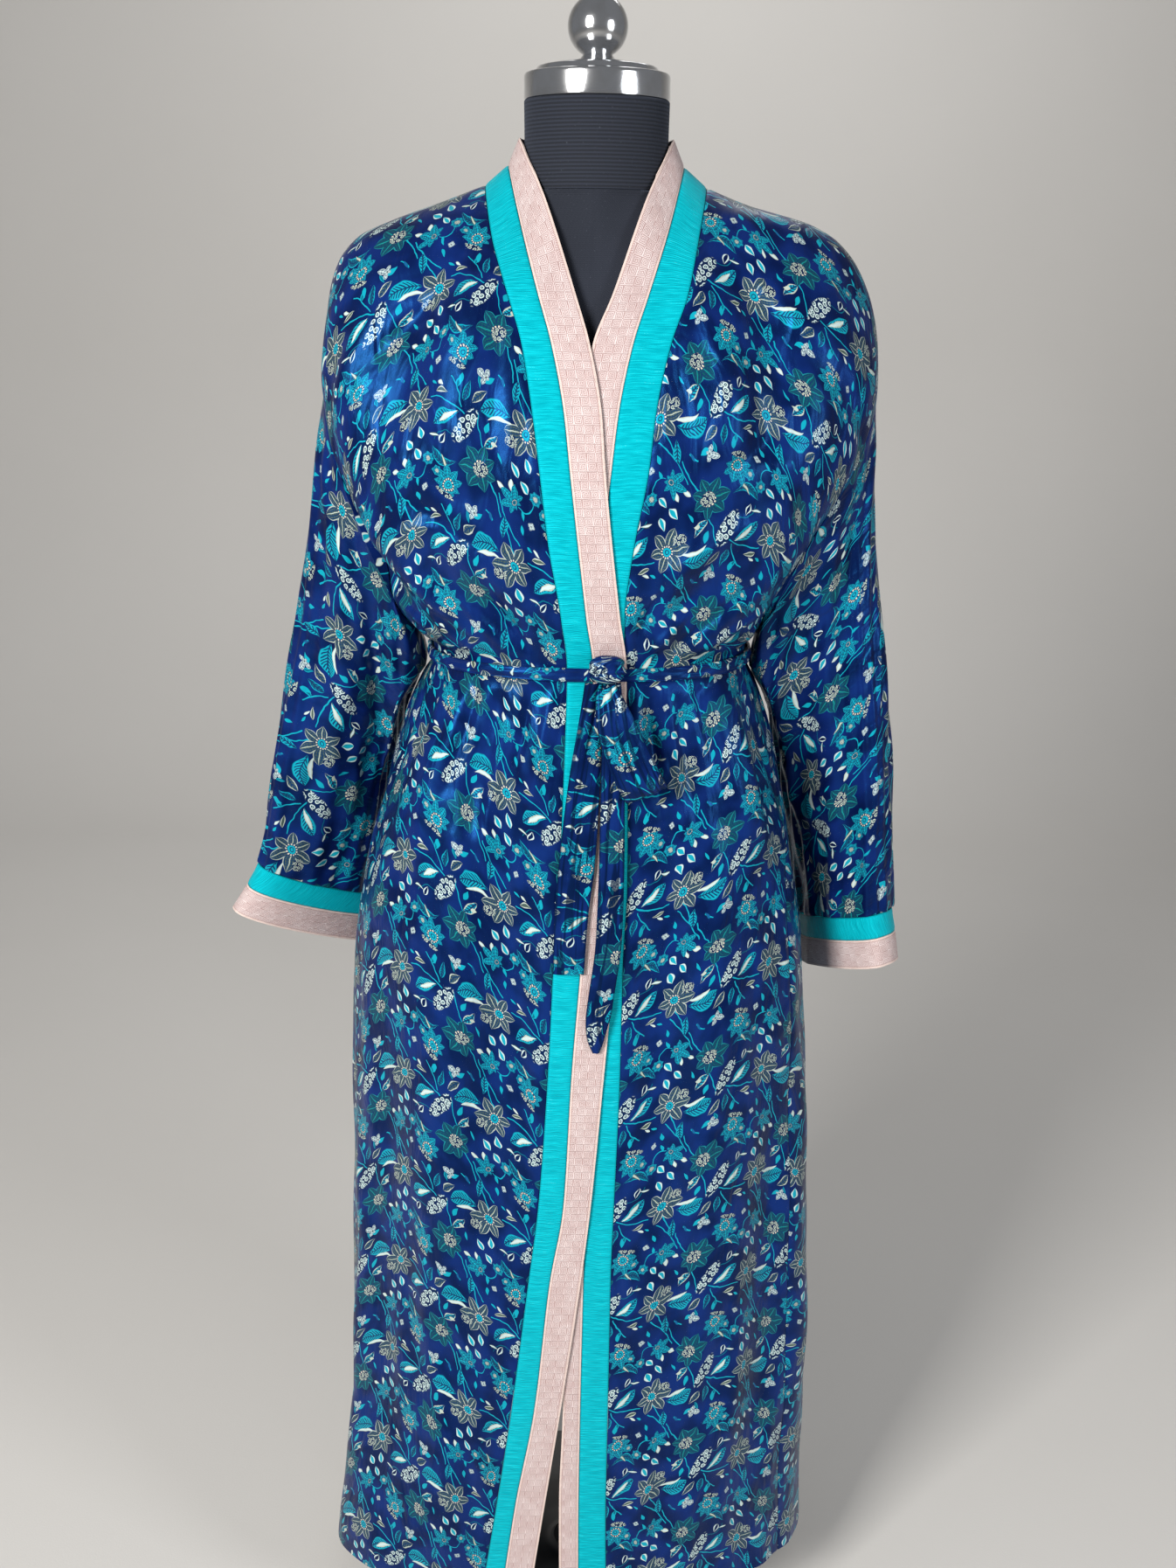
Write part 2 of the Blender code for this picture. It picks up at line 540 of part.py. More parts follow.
def sleeve_oval(side, along, turns):
    """Oval of a sleeve at a place along it, between its folded top edge and its underarm edge."""
    rows = RIGHT_SLEEVE_ROWS if side == RIGHT else LEFT_SLEEVE_ROWS
    folds = RIGHT_SLEEVE_FOLDS if side == RIGHT else LEFT_SLEEVE_FOLDS
    places = column(rows, SLEEVE_COLUMNS, "along")
    top_line = np.array(column(rows, SLEEVE_COLUMNS, "top")) * (side, 1, 1)
    under_line = np.array(column(rows, SLEEVE_COLUMNS, "under")) * (side, 1, 1)
    top = np.array([smooth(along, places, top_line[:, axis]) for axis in range(3)])
    under = np.array([smooth(along, places, under_line[:, axis]) for axis in range(3)])
    way = top_line[-1] + under_line[-1] - top_line[0] - under_line[0]
    off = np.cross(top - under, way)
    off = off / np.linalg.norm(off)
    if off[1] > 0:
        off = -off
    front = smooth(along, places, column(rows, SLEEVE_COLUMNS, "front_bulge"))
    back = smooth(along, places, column(rows, SLEEVE_COLUMNS, "back_bulge"))
    degrees = np.degrees(turns)
    for around, start, end_around, end, peak, half in folds:
        share = np.clip((along - start) / (end - start), 0, 1)
        middle = around + (end_around - around) * share
        bump = peak * math.sin(math.pi * share) ** 0.7 * np.exp(-(((degrees - middle) / half) ** 2))
        front = front + np.where(degrees < 180, bump, 0)
        back = back + np.where(degrees >= 180, bump, 0)
    sine = np.sin(turns)
    stand_off = np.where(sine >= 0, front, back) * np.sign(sine) * np.abs(sine) ** 0.85
    return (top + under) / 2 + (top - under) / 2 * np.cos(turns)[:, None] + off * stand_off[:, None]


def sleeve_ring(side, along, turns):
    """Ring of a sleeve: it starts as the armhole seam, then settles into the plain oval, moved
    out of the body's level section wherever it would come nearer than a set distance."""
    oval = sleeve_oval(side, along, turns)
    armhole = np.where(
        (turns <= math.pi)[:, None],
        armhole_point(side, np.clip(turns / math.pi, 0, 1), FRONT),
        armhole_point(side, np.clip(2 - turns / math.pi, 0, 1), BACK),
    )
    settle = np.clip(1 - along / 0.35, 0, 1) ** 2
    ring = oval + (armhole - sleeve_oval(side, 0.0, turns)) * settle
    clear = SLEEVE_CLEAR * np.clip(along / 0.20, 0, 1)
    half = half_width(side, ring[:, 2]) + clear
    depth = np.where(ring[:, 1] < 0, body("front", ring[:, 2]), body("back", ring[:, 2])) + clear
    square = body("squareness", ring[:, 2])
    reach = ((np.abs(ring[:, 0]) / half) ** square + (np.abs(ring[:, 1]) / depth) ** square) ** (1 / square)
    push = np.maximum(1 / reach, 1) if along > 0 else 1.0
    ring[:, 0] *= push
    ring[:, 1] *= push
    return ring


def sleeve_grid(side, stations, turns):
    return np.array([sleeve_ring(side, along, turns) for along in stations])


def trimmed(grid, sides):
    """The grid with the named edges (rows: top, bottom; columns: start, end) drawn back by half
    a seam gap."""
    grid = grid.copy()
    moves = {
        "top": (grid[0], grid[1]),
        "bottom": (grid[-1], grid[-2]),
        "start": (grid[:, 0], grid[:, 1]),
        "end": (grid[:, -1], grid[:, -2]),
    }
    for name in sides:
        edge, inner = moves[name]
        way = inner - edge
        size = np.maximum(np.linalg.norm(way, axis=-1, keepdims=True), 1e-9)
        edge += way / size * SEAM_GAP / 2
    return grid


def grid_normals(grid, closed):
    """Unit normals of a grid of points, from its row and column directions."""
    down = np.gradient(grid, axis=0)
    if closed:
        over = np.roll(grid, -1, axis=1) - np.roll(grid, 1, axis=1)
    else:
        over = np.gradient(grid, axis=1)
    normal = np.cross(over, down)
    return normal / np.maximum(np.linalg.norm(normal, axis=-1, keepdims=True), 1e-12)


def add_material(item, colour, roughness, metallic=0.0):
    material = bpy.data.materials.new(item.name)
    material.use_nodes = True
    shader = material.node_tree.nodes["Principled BSDF"]
    shader.inputs["Base Color"].default_value = (*colour, 1.0)
    shader.inputs["Roughness"].default_value = roughness
    shader.inputs["Metallic"].default_value = metallic
    item.data.materials.append(material)


def add_solid(name, points, faces, colour, roughness, metallic=0.0):
    """Object from points and faces, with its faces turned outwards."""
    mesh = bpy.data.meshes.new(name)
    mesh.from_pydata([tuple(point) for point in points], [], faces)
    bm = bmesh.new()
    bm.from_mesh(mesh)
    bmesh.ops.recalc_face_normals(bm, faces=bm.faces)
    bmesh.ops.triangulate(bm, faces=bm.faces)
    bm.to_mesh(mesh)
    bm.free()
    mesh.shade_smooth()
    item = bpy.data.objects.new(name, mesh)
    bpy.context.scene.collection.objects.link(item)
    add_material(item, colour, roughness, metallic)
    return item


def add_cloth(name, grid, normal, colour, roughness, closed=False, wall=CLOTH_WALL):
    """Cloth of one wall thickness whose outer face runs through the grid's points. Closed joins
    the last column to the first, as round a sleeve."""
    rows, columns = grid.shape[:2]
    points = np.concatenate([grid.reshape(-1, 3), (grid - normal * wall).reshape(-1, 3)])
    inner = rows * columns
    faces = []
    across = columns if closed else columns - 1
    for r in range(rows - 1):
        for c in range(across):
            a = r * columns + c
            b = r * columns + (c + 1) % columns
            faces.append((a, b, b + columns, a + columns))
            faces.append((inner + a, inner + a + columns, inner + b + columns, inner + b))
    for r in (0, rows - 1):
        for c in range(across):
            a = r * columns + c
            b = r * columns + (c + 1) % columns
            faces.append((a, inner + a, inner + b, b))
    if not closed:
        for c in (0, columns - 1):
            for r in range(rows - 1):
                a = r * columns + c
                faces.append((a, a + columns, inner + a + columns, inner + a))
    return add_solid(name, points, faces, colour, roughness)


def add_lathe(name, rings, colour, roughness, metallic=0.0):
    """Solid through closed rings of points, one above the other, with flat ends."""
    rings = np.asarray(rings)
    count, around = rings.shape[:2]
    faces = []
    for r in range(count - 1):
        for c in range(around):
            d = (c + 1) % around
            faces.append((r * around + c, r * around + d, (r + 1) * around + d, (r + 1) * around + c))
    faces.append(tuple(range(around)))
    faces.append(tuple((count - 1) * around + c for c in range(around)))
    return add_solid(name, rings.reshape(-1, 3), faces, colour, roughness, metallic)


def turned_rings(profile, around):
    """Rings round the Z axis for a profile of (radius, height) pairs."""
    angle = np.linspace(0, 2 * math.pi, around, endpoint=False)
    return [np.stack([r * np.cos(angle), r * np.sin(angle), 0 * angle + z], -1) for r, z in profile]


def border_stations(side):
    """Places along the border where it has rows: round the neck, then level with the panel's."""
    _, down_front = outer_line(side, front_heights(side))
    return np.concatenate([NECK_STATIONS[:-1], down_front])


def share_seam(one, other):
    """Gives two edges that are sewn together one direction of thickness, so that their walls
    meet face to face."""
    both = one + other
    both = both / np.linalg.norm(both, axis=-1, keepdims=True)
    one[...] = both
    other[...] = both


def add_robe():
    """Panels, borders, sleeves and cuffs. Their seams have the same points on both sides."""
    upper = len(UPPER_SHARES)
    neck = len(NECK_STATIONS)
    turns = math.pi * np.concatenate([UPPER_SHARES, 2 - UPPER_SHARES[-2:0:-1]])
    sleeve_stations = (0, 0.06, 0.12, 0.19, 0.27, 0.36, 0.46, 0.58, 0.71, 0.85, 1.0)
    grids = {}
    halves = [back_panel_half(side, NECK_STATIONS, FRONT_COLUMNS) for side in (RIGHT, LEFT)]
    grids["back_panel"] = np.concatenate([halves[0][:, ::-1], halves[1][:, 1:]], axis=1)
    for side, label in ((RIGHT, "right"), (LEFT, "left")):
        stations = border_stations(side)
        grids["front_panel_" + label] = front_panel_grid(side, FRONT_COLUMNS)
        grids["front_border_turquoise_" + label] = border_grid(side, 0, 1, stations, 2)
        grids["front_border_brocade_" + label] = border_grid(side, 1, 2, stations, 3)
        grids["sleeve_" + label] = sleeve_grid(side, sleeve_stations, turns)
        grids["cuff_turquoise_" + label] = sleeve_grid(side, (1.0, CUFF_SEAM), turns)
        grids["cuff_brocade_" + label] = sleeve_grid(side, (CUFF_SEAM, CUFF_END), turns)
    normals = {}
    for name, grid in grids.items():
        closed = name.startswith(("sleeve", "cuff"))
        normal = grid_normals(grid, closed)
        if closed:
            way = grid - grid.mean(axis=1, keepdims=True)
        elif name == "back_panel":
            way = np.array((0, 1, 0))
        else:
            way = np.array((0, -1, 0)) * np.ones(grid.shape)
            if "border" in name:
                way[: neck - 1] = (0, 1, 0)
        normals[name] = normal if np.sum(normal * way) > 0 else -normal
    back = normals["back_panel"]
    for side, label in ((RIGHT, "right"), (LEFT, "left")):
        half = back[:, neck + FRONT_COLUMNS - 2:] if side == LEFT else back[:, neck + FRONT_COLUMNS - 2::-1]
        front = normals["front_panel_" + label]
        turquoise = normals["front_border_turquoise_" + label]
        brocade = normals["front_border_brocade_" + label]
        sleeve = normals["sleeve_" + label]
        share_seam(front[0], half[0, neck - 1:])
        share_seam(front[upper:, -1], half[upper:, -1])
        share_seam(front[:upper, -1], sleeve[0, :upper])
        share_seam(half[1:upper - 1, -1], sleeve[0, :upper - 1:-1])
        half[0, -1] = sleeve[0, 0]
        half[upper - 1, -1] = sleeve[0, upper - 1]
        share_seam(front[:, 0], turquoise[neck - 1:, 0])
        share_seam(half[0, :neck], turquoise[:neck, 0])
        front[0, 0] = turquoise[neck - 1, 0]
        share_seam(turquoise[:, -1], brocade[:, 0])
        share_seam(sleeve[-1], normals["cuff_turquoise_" + label][0])
        share_seam(normals["cuff_turquoise_" + label][-1], normals["cuff_brocade_" + label][0])
    for strip in ("turquoise", "brocade"):
        share_seam(
            normals["front_border_" + strip + "_right"][0],
            normals["front_border_" + strip + "_left"][0],
        )
    edges = {
        "back_panel": ("top", "start", "end"),
        "front_panel": ("top", "start", "end"),
        "front_border_turquoise": ("top", "start", "end"),
        "front_border_brocade": ("top", "start"),
        "sleeve": ("top", "bottom"),
        "cuff_turquoise": ("top", "bottom"),
        "cuff_brocade": ("top",),
    }
    for name, grid in grids.items():
        kind = name.removesuffix("_right").removesuffix("_left")
        colour = TURQUOISE if "turquoise" in name else BROCADE_PINK if "brocade" in name else SATIN_BLUE
        closed = name.startswith(("sleeve", "cuff"))
        add_cloth(name, trimmed(grid, edges[kind]), normals[name], colour, 0.4, closed)


def waist_wrap(angle):
    """Middle line of the belt round the waist, at angles from the centre front."""
    side_x = np.sin(angle)
    face = np.where(np.cos(angle) >= 0, FRONT, BACK)
    across = np.where(
        side_x < 0,
        -np.abs(waist_across(RIGHT, angle)),
        np.abs(waist_across(LEFT, angle)),
    )
    height = np.full_like(angle, BELT_HEIGHT)
    front = wall_point(across, height, FRONT)
    back = wall_point(across, height, BACK)
    wall = np.where((face == FRONT)[:, None], front, back)
    over_top_layer = TOP_LAYER_LIFT * np.clip(np.cos(angle), 0, 1) ** 0.5
    ring_way = np.stack([np.sin(angle), -np.cos(angle), 0 * angle], -1)
    return wall + ring_way * (over_top_layer + 0.0007 + BELT_THICK / 2)[:, None]


def waist_across(side, angle):
    turn = np.arctan2(np.abs(np.sin(angle)), np.abs(np.cos(angle)))
    front = oval_across(side, BELT_HEIGHT, turn, FRONT)
    back = oval_across(side, BELT_HEIGHT, turn, BACK)
    return np.where(np.cos(angle) >= 0, front, back)


def add_belt():
    around = 48
    angle = np.linspace(0, 2 * math.pi, around, endpoint=False)
    line = waist_wrap(angle)
    way = np.roll(line, -1, axis=0) - np.roll(line, 1, axis=0)
    out = np.stack([-way[:, 1], way[:, 0], 0 * angle], -1)
    out = out / np.linalg.norm(out, axis=1, keepdims=True)
    out *= np.sign(np.sum(out * line, axis=1, keepdims=True))
    section = np.linspace(0, 2 * math.pi, 6, endpoint=False) + math.pi / 6
    points = []
    for turn in section:
        reach = np.sign(math.cos(turn)) * abs(math.cos(turn)) ** 0.6
        rise = np.sign(math.sin(turn)) * abs(math.sin(turn)) ** 0.8
        points.append(line + out * BELT_THICK / 2 * reach + np.array((0, 0, BELT_TALL / 2 * rise)))
    points = np.stack(points, axis=1)
    faces = []
    for r in range(around):
        for c in range(len(section)):
            s = (r + 1) % around
            d = (c + 1) % len(section)
            width = len(section)
            faces.append((r * width + c, r * width + d, s * width + d, s * width + c))
    add_solid("belt_waist", points.reshape(-1, 3), faces, SATIN_BLUE, 0.35)


def knot_place():
    """Centre of the knot, in front of the belt."""
    belt_front = waist_wrap(np.array([0.0]))[0, 1] - BELT_THICK / 2
    return np.array((KNOT_CENTRE[0], belt_front - SEAT_GAP - KNOT_HALF[1] + KNOT_SINK, KNOT_CENTRE[1]))


def add_knot():
    centre = knot_place()
    rings = []
    around = np.linspace(0, 2 * math.pi, 16, endpoint=False)
    for rise in np.linspace(-0.94, 0.94, 9):
        width = (1 - abs(rise) ** 2.4) ** (1 / 2.4)
        groove = 1 - 0.10 * math.exp(-((rise / 0.25) ** 2))
        rings.append(np.stack([
            centre[0] + KNOT_HALF[0] * width * groove * np.cos(around),
            centre[1] + KNOT_HALF[1] * width * np.sin(around),
            0 * around + centre[2] + KNOT_HALF[2] * rise,
        ], -1))
    add_lathe("belt_knot", rings, SATIN_BLUE, 0.35)


def strip_grid(rows, count, columns, lean=0.0, cup=0.0):
    """Belt strip hanging in front of the robe, along its middle line, with its width across."""
    length = np.zeros(len(rows))
    table = np.array(rows)
    length[1:] = np.cumsum(np.linalg.norm(np.diff(table[:, [0, 1, 3]], axis=0), axis=1))
    at = np.linspace(0, length[-1], count)
    across, height, width, clear = (smooth(at, length, table[:, k]) for k in range(4))
    share = np.linspace(-1, 1, columns)
    x = across[:, None] + share * width[:, None] / 2 * math.cos(lean)
    z = height[:, None] + share * width[:, None] / 2 * math.sin(lean)
    middle = wall_point(across, height, FRONT, TOP_LAYER_LIFT)[:, 1]
    y = (middle - clear)[:, None] - cup * (1 - share**2)[None, :]
    return np.stack([x, np.broadcast_to(y, x.shape), z], -1)


def add_strips():
    items = (
        ("belt_tail_right", TAIL_RIGHT_ROWS, 11, 3, 0.0),
        ("belt_tail_left", TAIL_LEFT_ROWS, 13, 3, 0.0),
        ("belt_loop", LOOP_ROWS, 25, 4, LOOP_LEAN),
    )
    for name, rows, count, columns, lean in items:
        grid = strip_grid(rows, count, columns, lean, cup=0.0012)
        add_cloth(name, grid, grid_normals(grid, closed=False), SATIN_BLUE, 0.35)


def form_ring(height, around):
    sizes = [
        smooth(height, column(FORM_ROWS, FORM_COLUMNS, "height"), column(FORM_ROWS, FORM_COLUMNS, name))
        for name in FORM_COLUMNS[1:]
    ]
    half, front, back, square = (float(size) for size in sizes)
    angle = np.linspace(0, 2 * math.pi, around, endpoint=False)
    depth = np.where(np.sin(angle) < 0, front, back)
    size = (np.abs(np.cos(angle) / half) ** square + np.abs(np.sin(angle) / depth) ** square) ** (-1 / square)
    return np.stack([size * np.cos(angle), size * np.sin(angle), 0 * angle + height], -1)


def add_form():
    heights = [row[0] for row in FORM_ROWS][::-1]
    add_lathe("form_torso", [form_ring(height, 36) for height in heights], FORM_NAVY, 0.8)
    neck = [(NECK_RADIUS, NECK_BOTTOM), (NECK_RADIUS, CAP_BOTTOM - SEAT_GAP)]
    add_lathe("form_neck", turned_rings(neck, 32), FORM_NAVY, 0.8)
    cap = [
        (0.0605, CAP_BOTTOM), (0.0610, CAP_BOTTOM + 0.002), (0.0610, CAP_BOTTOM + 0.018),
        (0.0595, CAP_BOTTOM + 0.0205), (0.052, CAP_BOTTOM + 0.0215), (0.050, CAP_BOTTOM + 0.0255),
        (0.036, CAP_BOTTOM + 0.0285), (0.016, CAP_TOP),
    ]
    add_lathe("neck_cap", turned_rings(cap, 32), CHROME, 0.12, 1.0)
    ball_bottom = CAP_TOP + SEAT_GAP
    centre = ball_bottom + 0.004 + BALL_RADIUS * 0.9
    profile = [(0.0155, ball_bottom), (0.0135, ball_bottom + 0.003)]
    for turn in np.radians(np.linspace(-62, 82, 11)):
        profile.append((BALL_RADIUS * math.cos(turn), centre + BALL_RADIUS * math.sin(turn)))
    add_lathe("ball_finial", turned_rings(profile, 24), CHROME, 0.10, 1.0)


def add_stand():
    pole = [(POLE_RADIUS, BASE_THICK + 0.0123), (POLE_RADIUS, FORM_BOTTOM - SEAT_GAP)]
    add_lathe("pole", turned_rings(pole, 16), STAND_BLACK, 0.35, 1.0)
    base = [
        (BASE_RADIUS - 0.003, 0.0), (BASE_RADIUS, 0.003), (BASE_RADIUS, 0.011),
        (BASE_RADIUS - 0.006, 0.016), (0.060, BASE_THICK), (0.034, BASE_THICK + 0.004),
        (0.028, BASE_THICK + 0.012),
    ]
    add_lathe("base", turned_rings(base, 32), STAND_BLACK, 0.4, 0.6)


for leftover in list(bpy.data.objects):
    bpy.data.objects.remove(leftover)
add_robe()
add_belt()
add_knot()
add_strips()
add_form()
add_stand()
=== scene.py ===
import math

import bpy
import numpy as np
from mathutils import Euler, Matrix


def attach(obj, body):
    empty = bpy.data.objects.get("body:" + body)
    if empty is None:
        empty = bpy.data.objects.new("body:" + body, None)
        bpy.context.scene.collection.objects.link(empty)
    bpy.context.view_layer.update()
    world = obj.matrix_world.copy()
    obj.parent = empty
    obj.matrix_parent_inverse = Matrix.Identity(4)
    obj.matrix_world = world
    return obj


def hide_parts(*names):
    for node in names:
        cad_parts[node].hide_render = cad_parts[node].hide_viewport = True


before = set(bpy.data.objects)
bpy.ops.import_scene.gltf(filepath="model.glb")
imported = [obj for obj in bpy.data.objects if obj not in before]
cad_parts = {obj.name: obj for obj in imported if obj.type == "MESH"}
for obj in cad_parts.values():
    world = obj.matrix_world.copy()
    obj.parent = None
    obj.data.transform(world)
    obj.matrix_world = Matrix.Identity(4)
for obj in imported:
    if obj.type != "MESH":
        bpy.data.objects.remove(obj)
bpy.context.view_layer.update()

# Round base plate and pole. The real stand is a cast iron plate with a short collar, and a steel
# tube that goes up into the form. Both are coated in black paint. It is hidden in the photograph.
STAND_BLACK = (0.020, 0.020, 0.022, 1)
STAND_DUST = (0.045, 0.044, 0.043, 1)
# Profiles of turned pieces give radius and height in metres, from the bottom up
BASE_PROFILE = (
    (0.004, 0.0000), (0.186, 0.0000), (0.1892, 0.0012), (0.190, 0.0032), (0.190, 0.0105),
    (0.1893, 0.0125), (0.1870, 0.0150), (0.184, 0.0160), (0.120, 0.0183), (0.064, 0.0198),
    (0.058, 0.0202), (0.040, 0.0230), (0.034, 0.0240), (0.0300, 0.0270), (0.0282, 0.0305),
    (0.0270, 0.0319), (0.004, 0.0320),
)
POLE_PROFILE = (
    (0.002, 0.0324), (0.0156, 0.0324), (0.016, 0.0330), (0.016, 0.7440), (0.0155, 0.7447), (0.002, 0.7447),
)


class Value:
    """Output of a node that can be reckoned with: each sign adds the math node for it."""

    def __init__(self, nodes, socket):
        self.nodes = nodes
        self.socket = socket

    def __add__(self, other):
        return self.nodes.math("ADD", self, other)

    def __radd__(self, other):
        return self.nodes.math("ADD", other, self)

    def __sub__(self, other):
        return self.nodes.math("SUBTRACT", self, other)

    def __rsub__(self, other):
        return self.nodes.math("SUBTRACT", other, self)

    def __mul__(self, other):
        return self.nodes.math("MULTIPLY", self, other)

    def __truediv__(self, other):
        return self.nodes.math("DIVIDE", self, other)

    def __abs__(self):
        return self.nodes.math("ABSOLUTE", self)


class Nodes:
    """Adds nodes to one node tree."""

    def __init__(self, tree):
        self.tree = tree

    def set(self, node, key, value):
        """Links a node's output to a socket, or gives the socket a plain value."""
        if isinstance(value, Value):
            self.tree.links.new(value.socket, node.inputs[key])
        else:
            node.inputs[key].default_value = value

    def node(self, kind, sockets, **settings):
        made = self.tree.nodes.new(kind)
        for name, setting in settings.items():
            setattr(made, name, setting)
        for key, value in sockets.items():
            self.set(made, key, value)
        return made

    def put(self, kind, sockets, output=0, **settings):
        return Value(self, self.node(kind, sockets, **settings).outputs[output])

    def own_place(self):
        return self.put("ShaderNodeTexCoord", {}, "Object")

    def cut_place(self):
        return self.put("ShaderNodeUVMap", {}, uv_map="cut")

    def edge_value(self):
        return self.put("ShaderNodeAttribute", {}, "Fac", attribute_name="edge")

    def two_parts(self, vector):
        made = self.node("ShaderNodeSeparateXYZ", {0: vector})
        return Value(self, made.outputs[0]), Value(self, made.outputs[1])

    def math(self, operation, *values):
        return self.put("ShaderNodeMath", dict(enumerate(values)), operation=operation)

    def most(self, first, second):
        return self.math("MAXIMUM", first, second)

    def vector(self, operation, *values):
        output = 1 if operation == "DOT_PRODUCT" else 0
        return self.put("ShaderNodeVectorMath", dict(enumerate(values)), output, operation=operation)

    def mix(self, share, first, second):
        return self.put("ShaderNodeMix", {0: share, 6: first, 7: second}, 2, data_type="RGBA")

    def band(self, value, low, high):
        """0 at low and past it, 1 at high and past it, and a smooth step between them."""
        sockets = {"Value": value, "From Min": low, "From Max": high}
        return self.put("ShaderNodeMapRange", sockets, interpolation_type="SMOOTHSTEP")

    def near(self, value, middle, none, full):
        """0 at the distance none from the middle, 1 at the distance full, and a smooth step between."""
        return self.band(abs(value - middle), none, full)

    def between(self, value, low, high):
        return self.put("ShaderNodeMapRange", {"Value": value, "To Min": low, "To Max": high})

    def noise(self, place, scale, detail=2.0):
        return self.put("ShaderNodeTexNoise", {"Vector": place, "Scale": scale, "Detail": detail})

    def flat_noise(self, place, scale, output=0, detail=1.0, distortion=0.0):
        sockets = {"Vector": place, "Scale": scale, "Detail": detail, "Distortion": distortion}
        return self.put("ShaderNodeTexNoise", sockets, output, noise_dimensions="2D")

    def drawn_noise(self, cut, across, along, detail=1.0, distortion=0.0):
        """Noise on the flat cut with so many cells in a metre across and along."""
        return self.flat_noise(self.vector("MULTIPLY", cut, (across, along, 0)), 1.0, 0, detail, distortion)

    def wave(self, place, scale, distortion=0.0, direction="X"):
        sockets = {"Vector": place, "Scale": scale, "Distortion": distortion, "Detail": 1.0}
        return self.put("ShaderNodeTexWave", sockets, 1, bands_direction=direction)

    def bump(self, height, distance, strength, under=None):
        sockets = {"Height": height, "Distance": distance, "Strength": strength}
        return self.put("ShaderNodeBump", {**sockets, "Normal": under} if under else sockets)


def finish_of(name, **sizes):
    """New material: its nodes, and its shader with the named sockets set."""
    material = bpy.data.materials.new(name)
    material.use_nodes = True
    shader = material.node_tree.nodes["Principled BSDF"]
    for key, value in sizes.items():
        shader.inputs[key.replace("_", " ")].default_value = value
    return material, Nodes(material.node_tree), shader


def mesh_piece(name, points, faces, material, cut=None, edge=None, crisp=50):
    """Mesh from arrays: points, four-sided faces, each corner's place on the flat cut in metres,
    and each point's edge value: its distance from a strip's long edge, or on the belt's strips the
    weight of painted shade at their edges. Edges sharper than crisp degrees stay so."""
    mesh = bpy.data.meshes.new(name)
    mesh.vertices.add(len(points))
    mesh.vertices.foreach_set("co", np.ascontiguousarray(points, np.float32).ravel())
    mesh.loops.add(faces.size)
    mesh.loops.foreach_set("vertex_index", faces.astype(np.int32).ravel())
    mesh.polygons.add(len(faces))
    mesh.polygons.foreach_set("loop_start", np.arange(len(faces), dtype=np.int32) * 4)
    mesh.update(calc_edges=True)
    if cut is not None:
        layer = mesh.uv_layers.new(name="cut")
        layer.data.foreach_set("uv", np.ascontiguousarray(cut, np.float32).ravel())
    if edge is not None:
        held = mesh.attributes.new("edge", "FLOAT", "POINT")
        held.data.foreach_set("value", np.ascontiguousarray(edge, np.float32).ravel())
    mesh.validate()
    mesh.shade_smooth()
    mesh.set_sharp_from_angle(angle=math.radians(crisp))
    mesh.materials.append(material)
    piece = bpy.data.objects.new(name, mesh)
    bpy.context.scene.collection.objects.link(piece)
    return piece


def grid_faces(rows, columns, closed):
    """Corner indices of a grid's faces, and the same on a grid that has one more column when the
    last column joins the first."""
    r, c = (part.ravel() for part in np.meshgrid(
        np.arange(rows - 1), np.arange(columns if closed else columns - 1), indexing="ij"))
    d = (c + 1) % columns
    wide = columns + 1 if closed else columns
    corners = np.stack([r * columns + c, r * columns + d, (r + 1) * columns + d, (r + 1) * columns + c], -1)
    spots = np.stack([r * wide + c, r * wide + c + 1, (r + 1) * wide + c + 1, (r + 1) * wide + c], -1)
    return corners, spots


def capped(rings):
    """Points, faces and side corners of a solid through rings, the lowest first. Each end closes on
    a point by a fan of faces whose last two corners meet in the middle."""
    count, around = rings.shape[:2]
    sides, spots = grid_faces(count, around, True)
    middle = count * around
    points = np.concatenate([rings.reshape(-1, 3), rings[0].mean(0)[None], rings[-1].mean(0)[None]])
    c = np.arange(0, around, 2)
    last = (count - 1) * around
    foot, tip = np.full_like(c, middle), np.full_like(c, middle + 1)
    low = np.stack([c, foot, (c + 2) % around, (c + 1) % around], -1)
    high = np.stack([last + c, last + (c + 1) % around, last + (c + 2) % around, tip], -1)
    return points, np.concatenate([sides, low, high]), spots


def turned_piece(name, rings, material, crisp=40):
    """Closed solid through rings of points."""
    points, faces, _ = capped(rings)
    return mesh_piece(name, points, faces, material, crisp=crisp)


def circle_rings(profile, around):
    """Rings round the Z axis, one for each radius and height of a profile."""
    turn = np.linspace(0, 2 * math.pi, around, endpoint=False)
    profile = np.asarray(profile, float)
    r, z = profile[:, 0][:, None], profile[:, 1][:, None]
    return np.stack([r * np.cos(turn), r * np.sin(turn), z + 0 * turn], -1)


def take_place(piece, node):
    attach(piece, "root")
    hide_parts(node)
    return piece


paint, n, shader = finish_of("stand_paint", Roughness=0.42, Coat_Weight=0.15, Coat_Roughness=0.3)
place = n.own_place()
dust = n.noise(place, 14.0, 4.0)
n.set(shader, "Base Color", n.mix(n.band(dust, 0.45, 0.75), STAND_BLACK, STAND_DUST))
n.set(shader, "Roughness", n.between(dust, 0.34, 0.55))
n.set(shader, "Normal", n.bump(n.noise(place, 900.0, 3.0), 0.0003, 0.35))
take_place(turned_piece("base_plate", circle_rings(BASE_PROFILE, 128), paint), "base")
take_place(turned_piece("stand_pole", circle_rings(POLE_PROFILE, 48), paint), "pole")

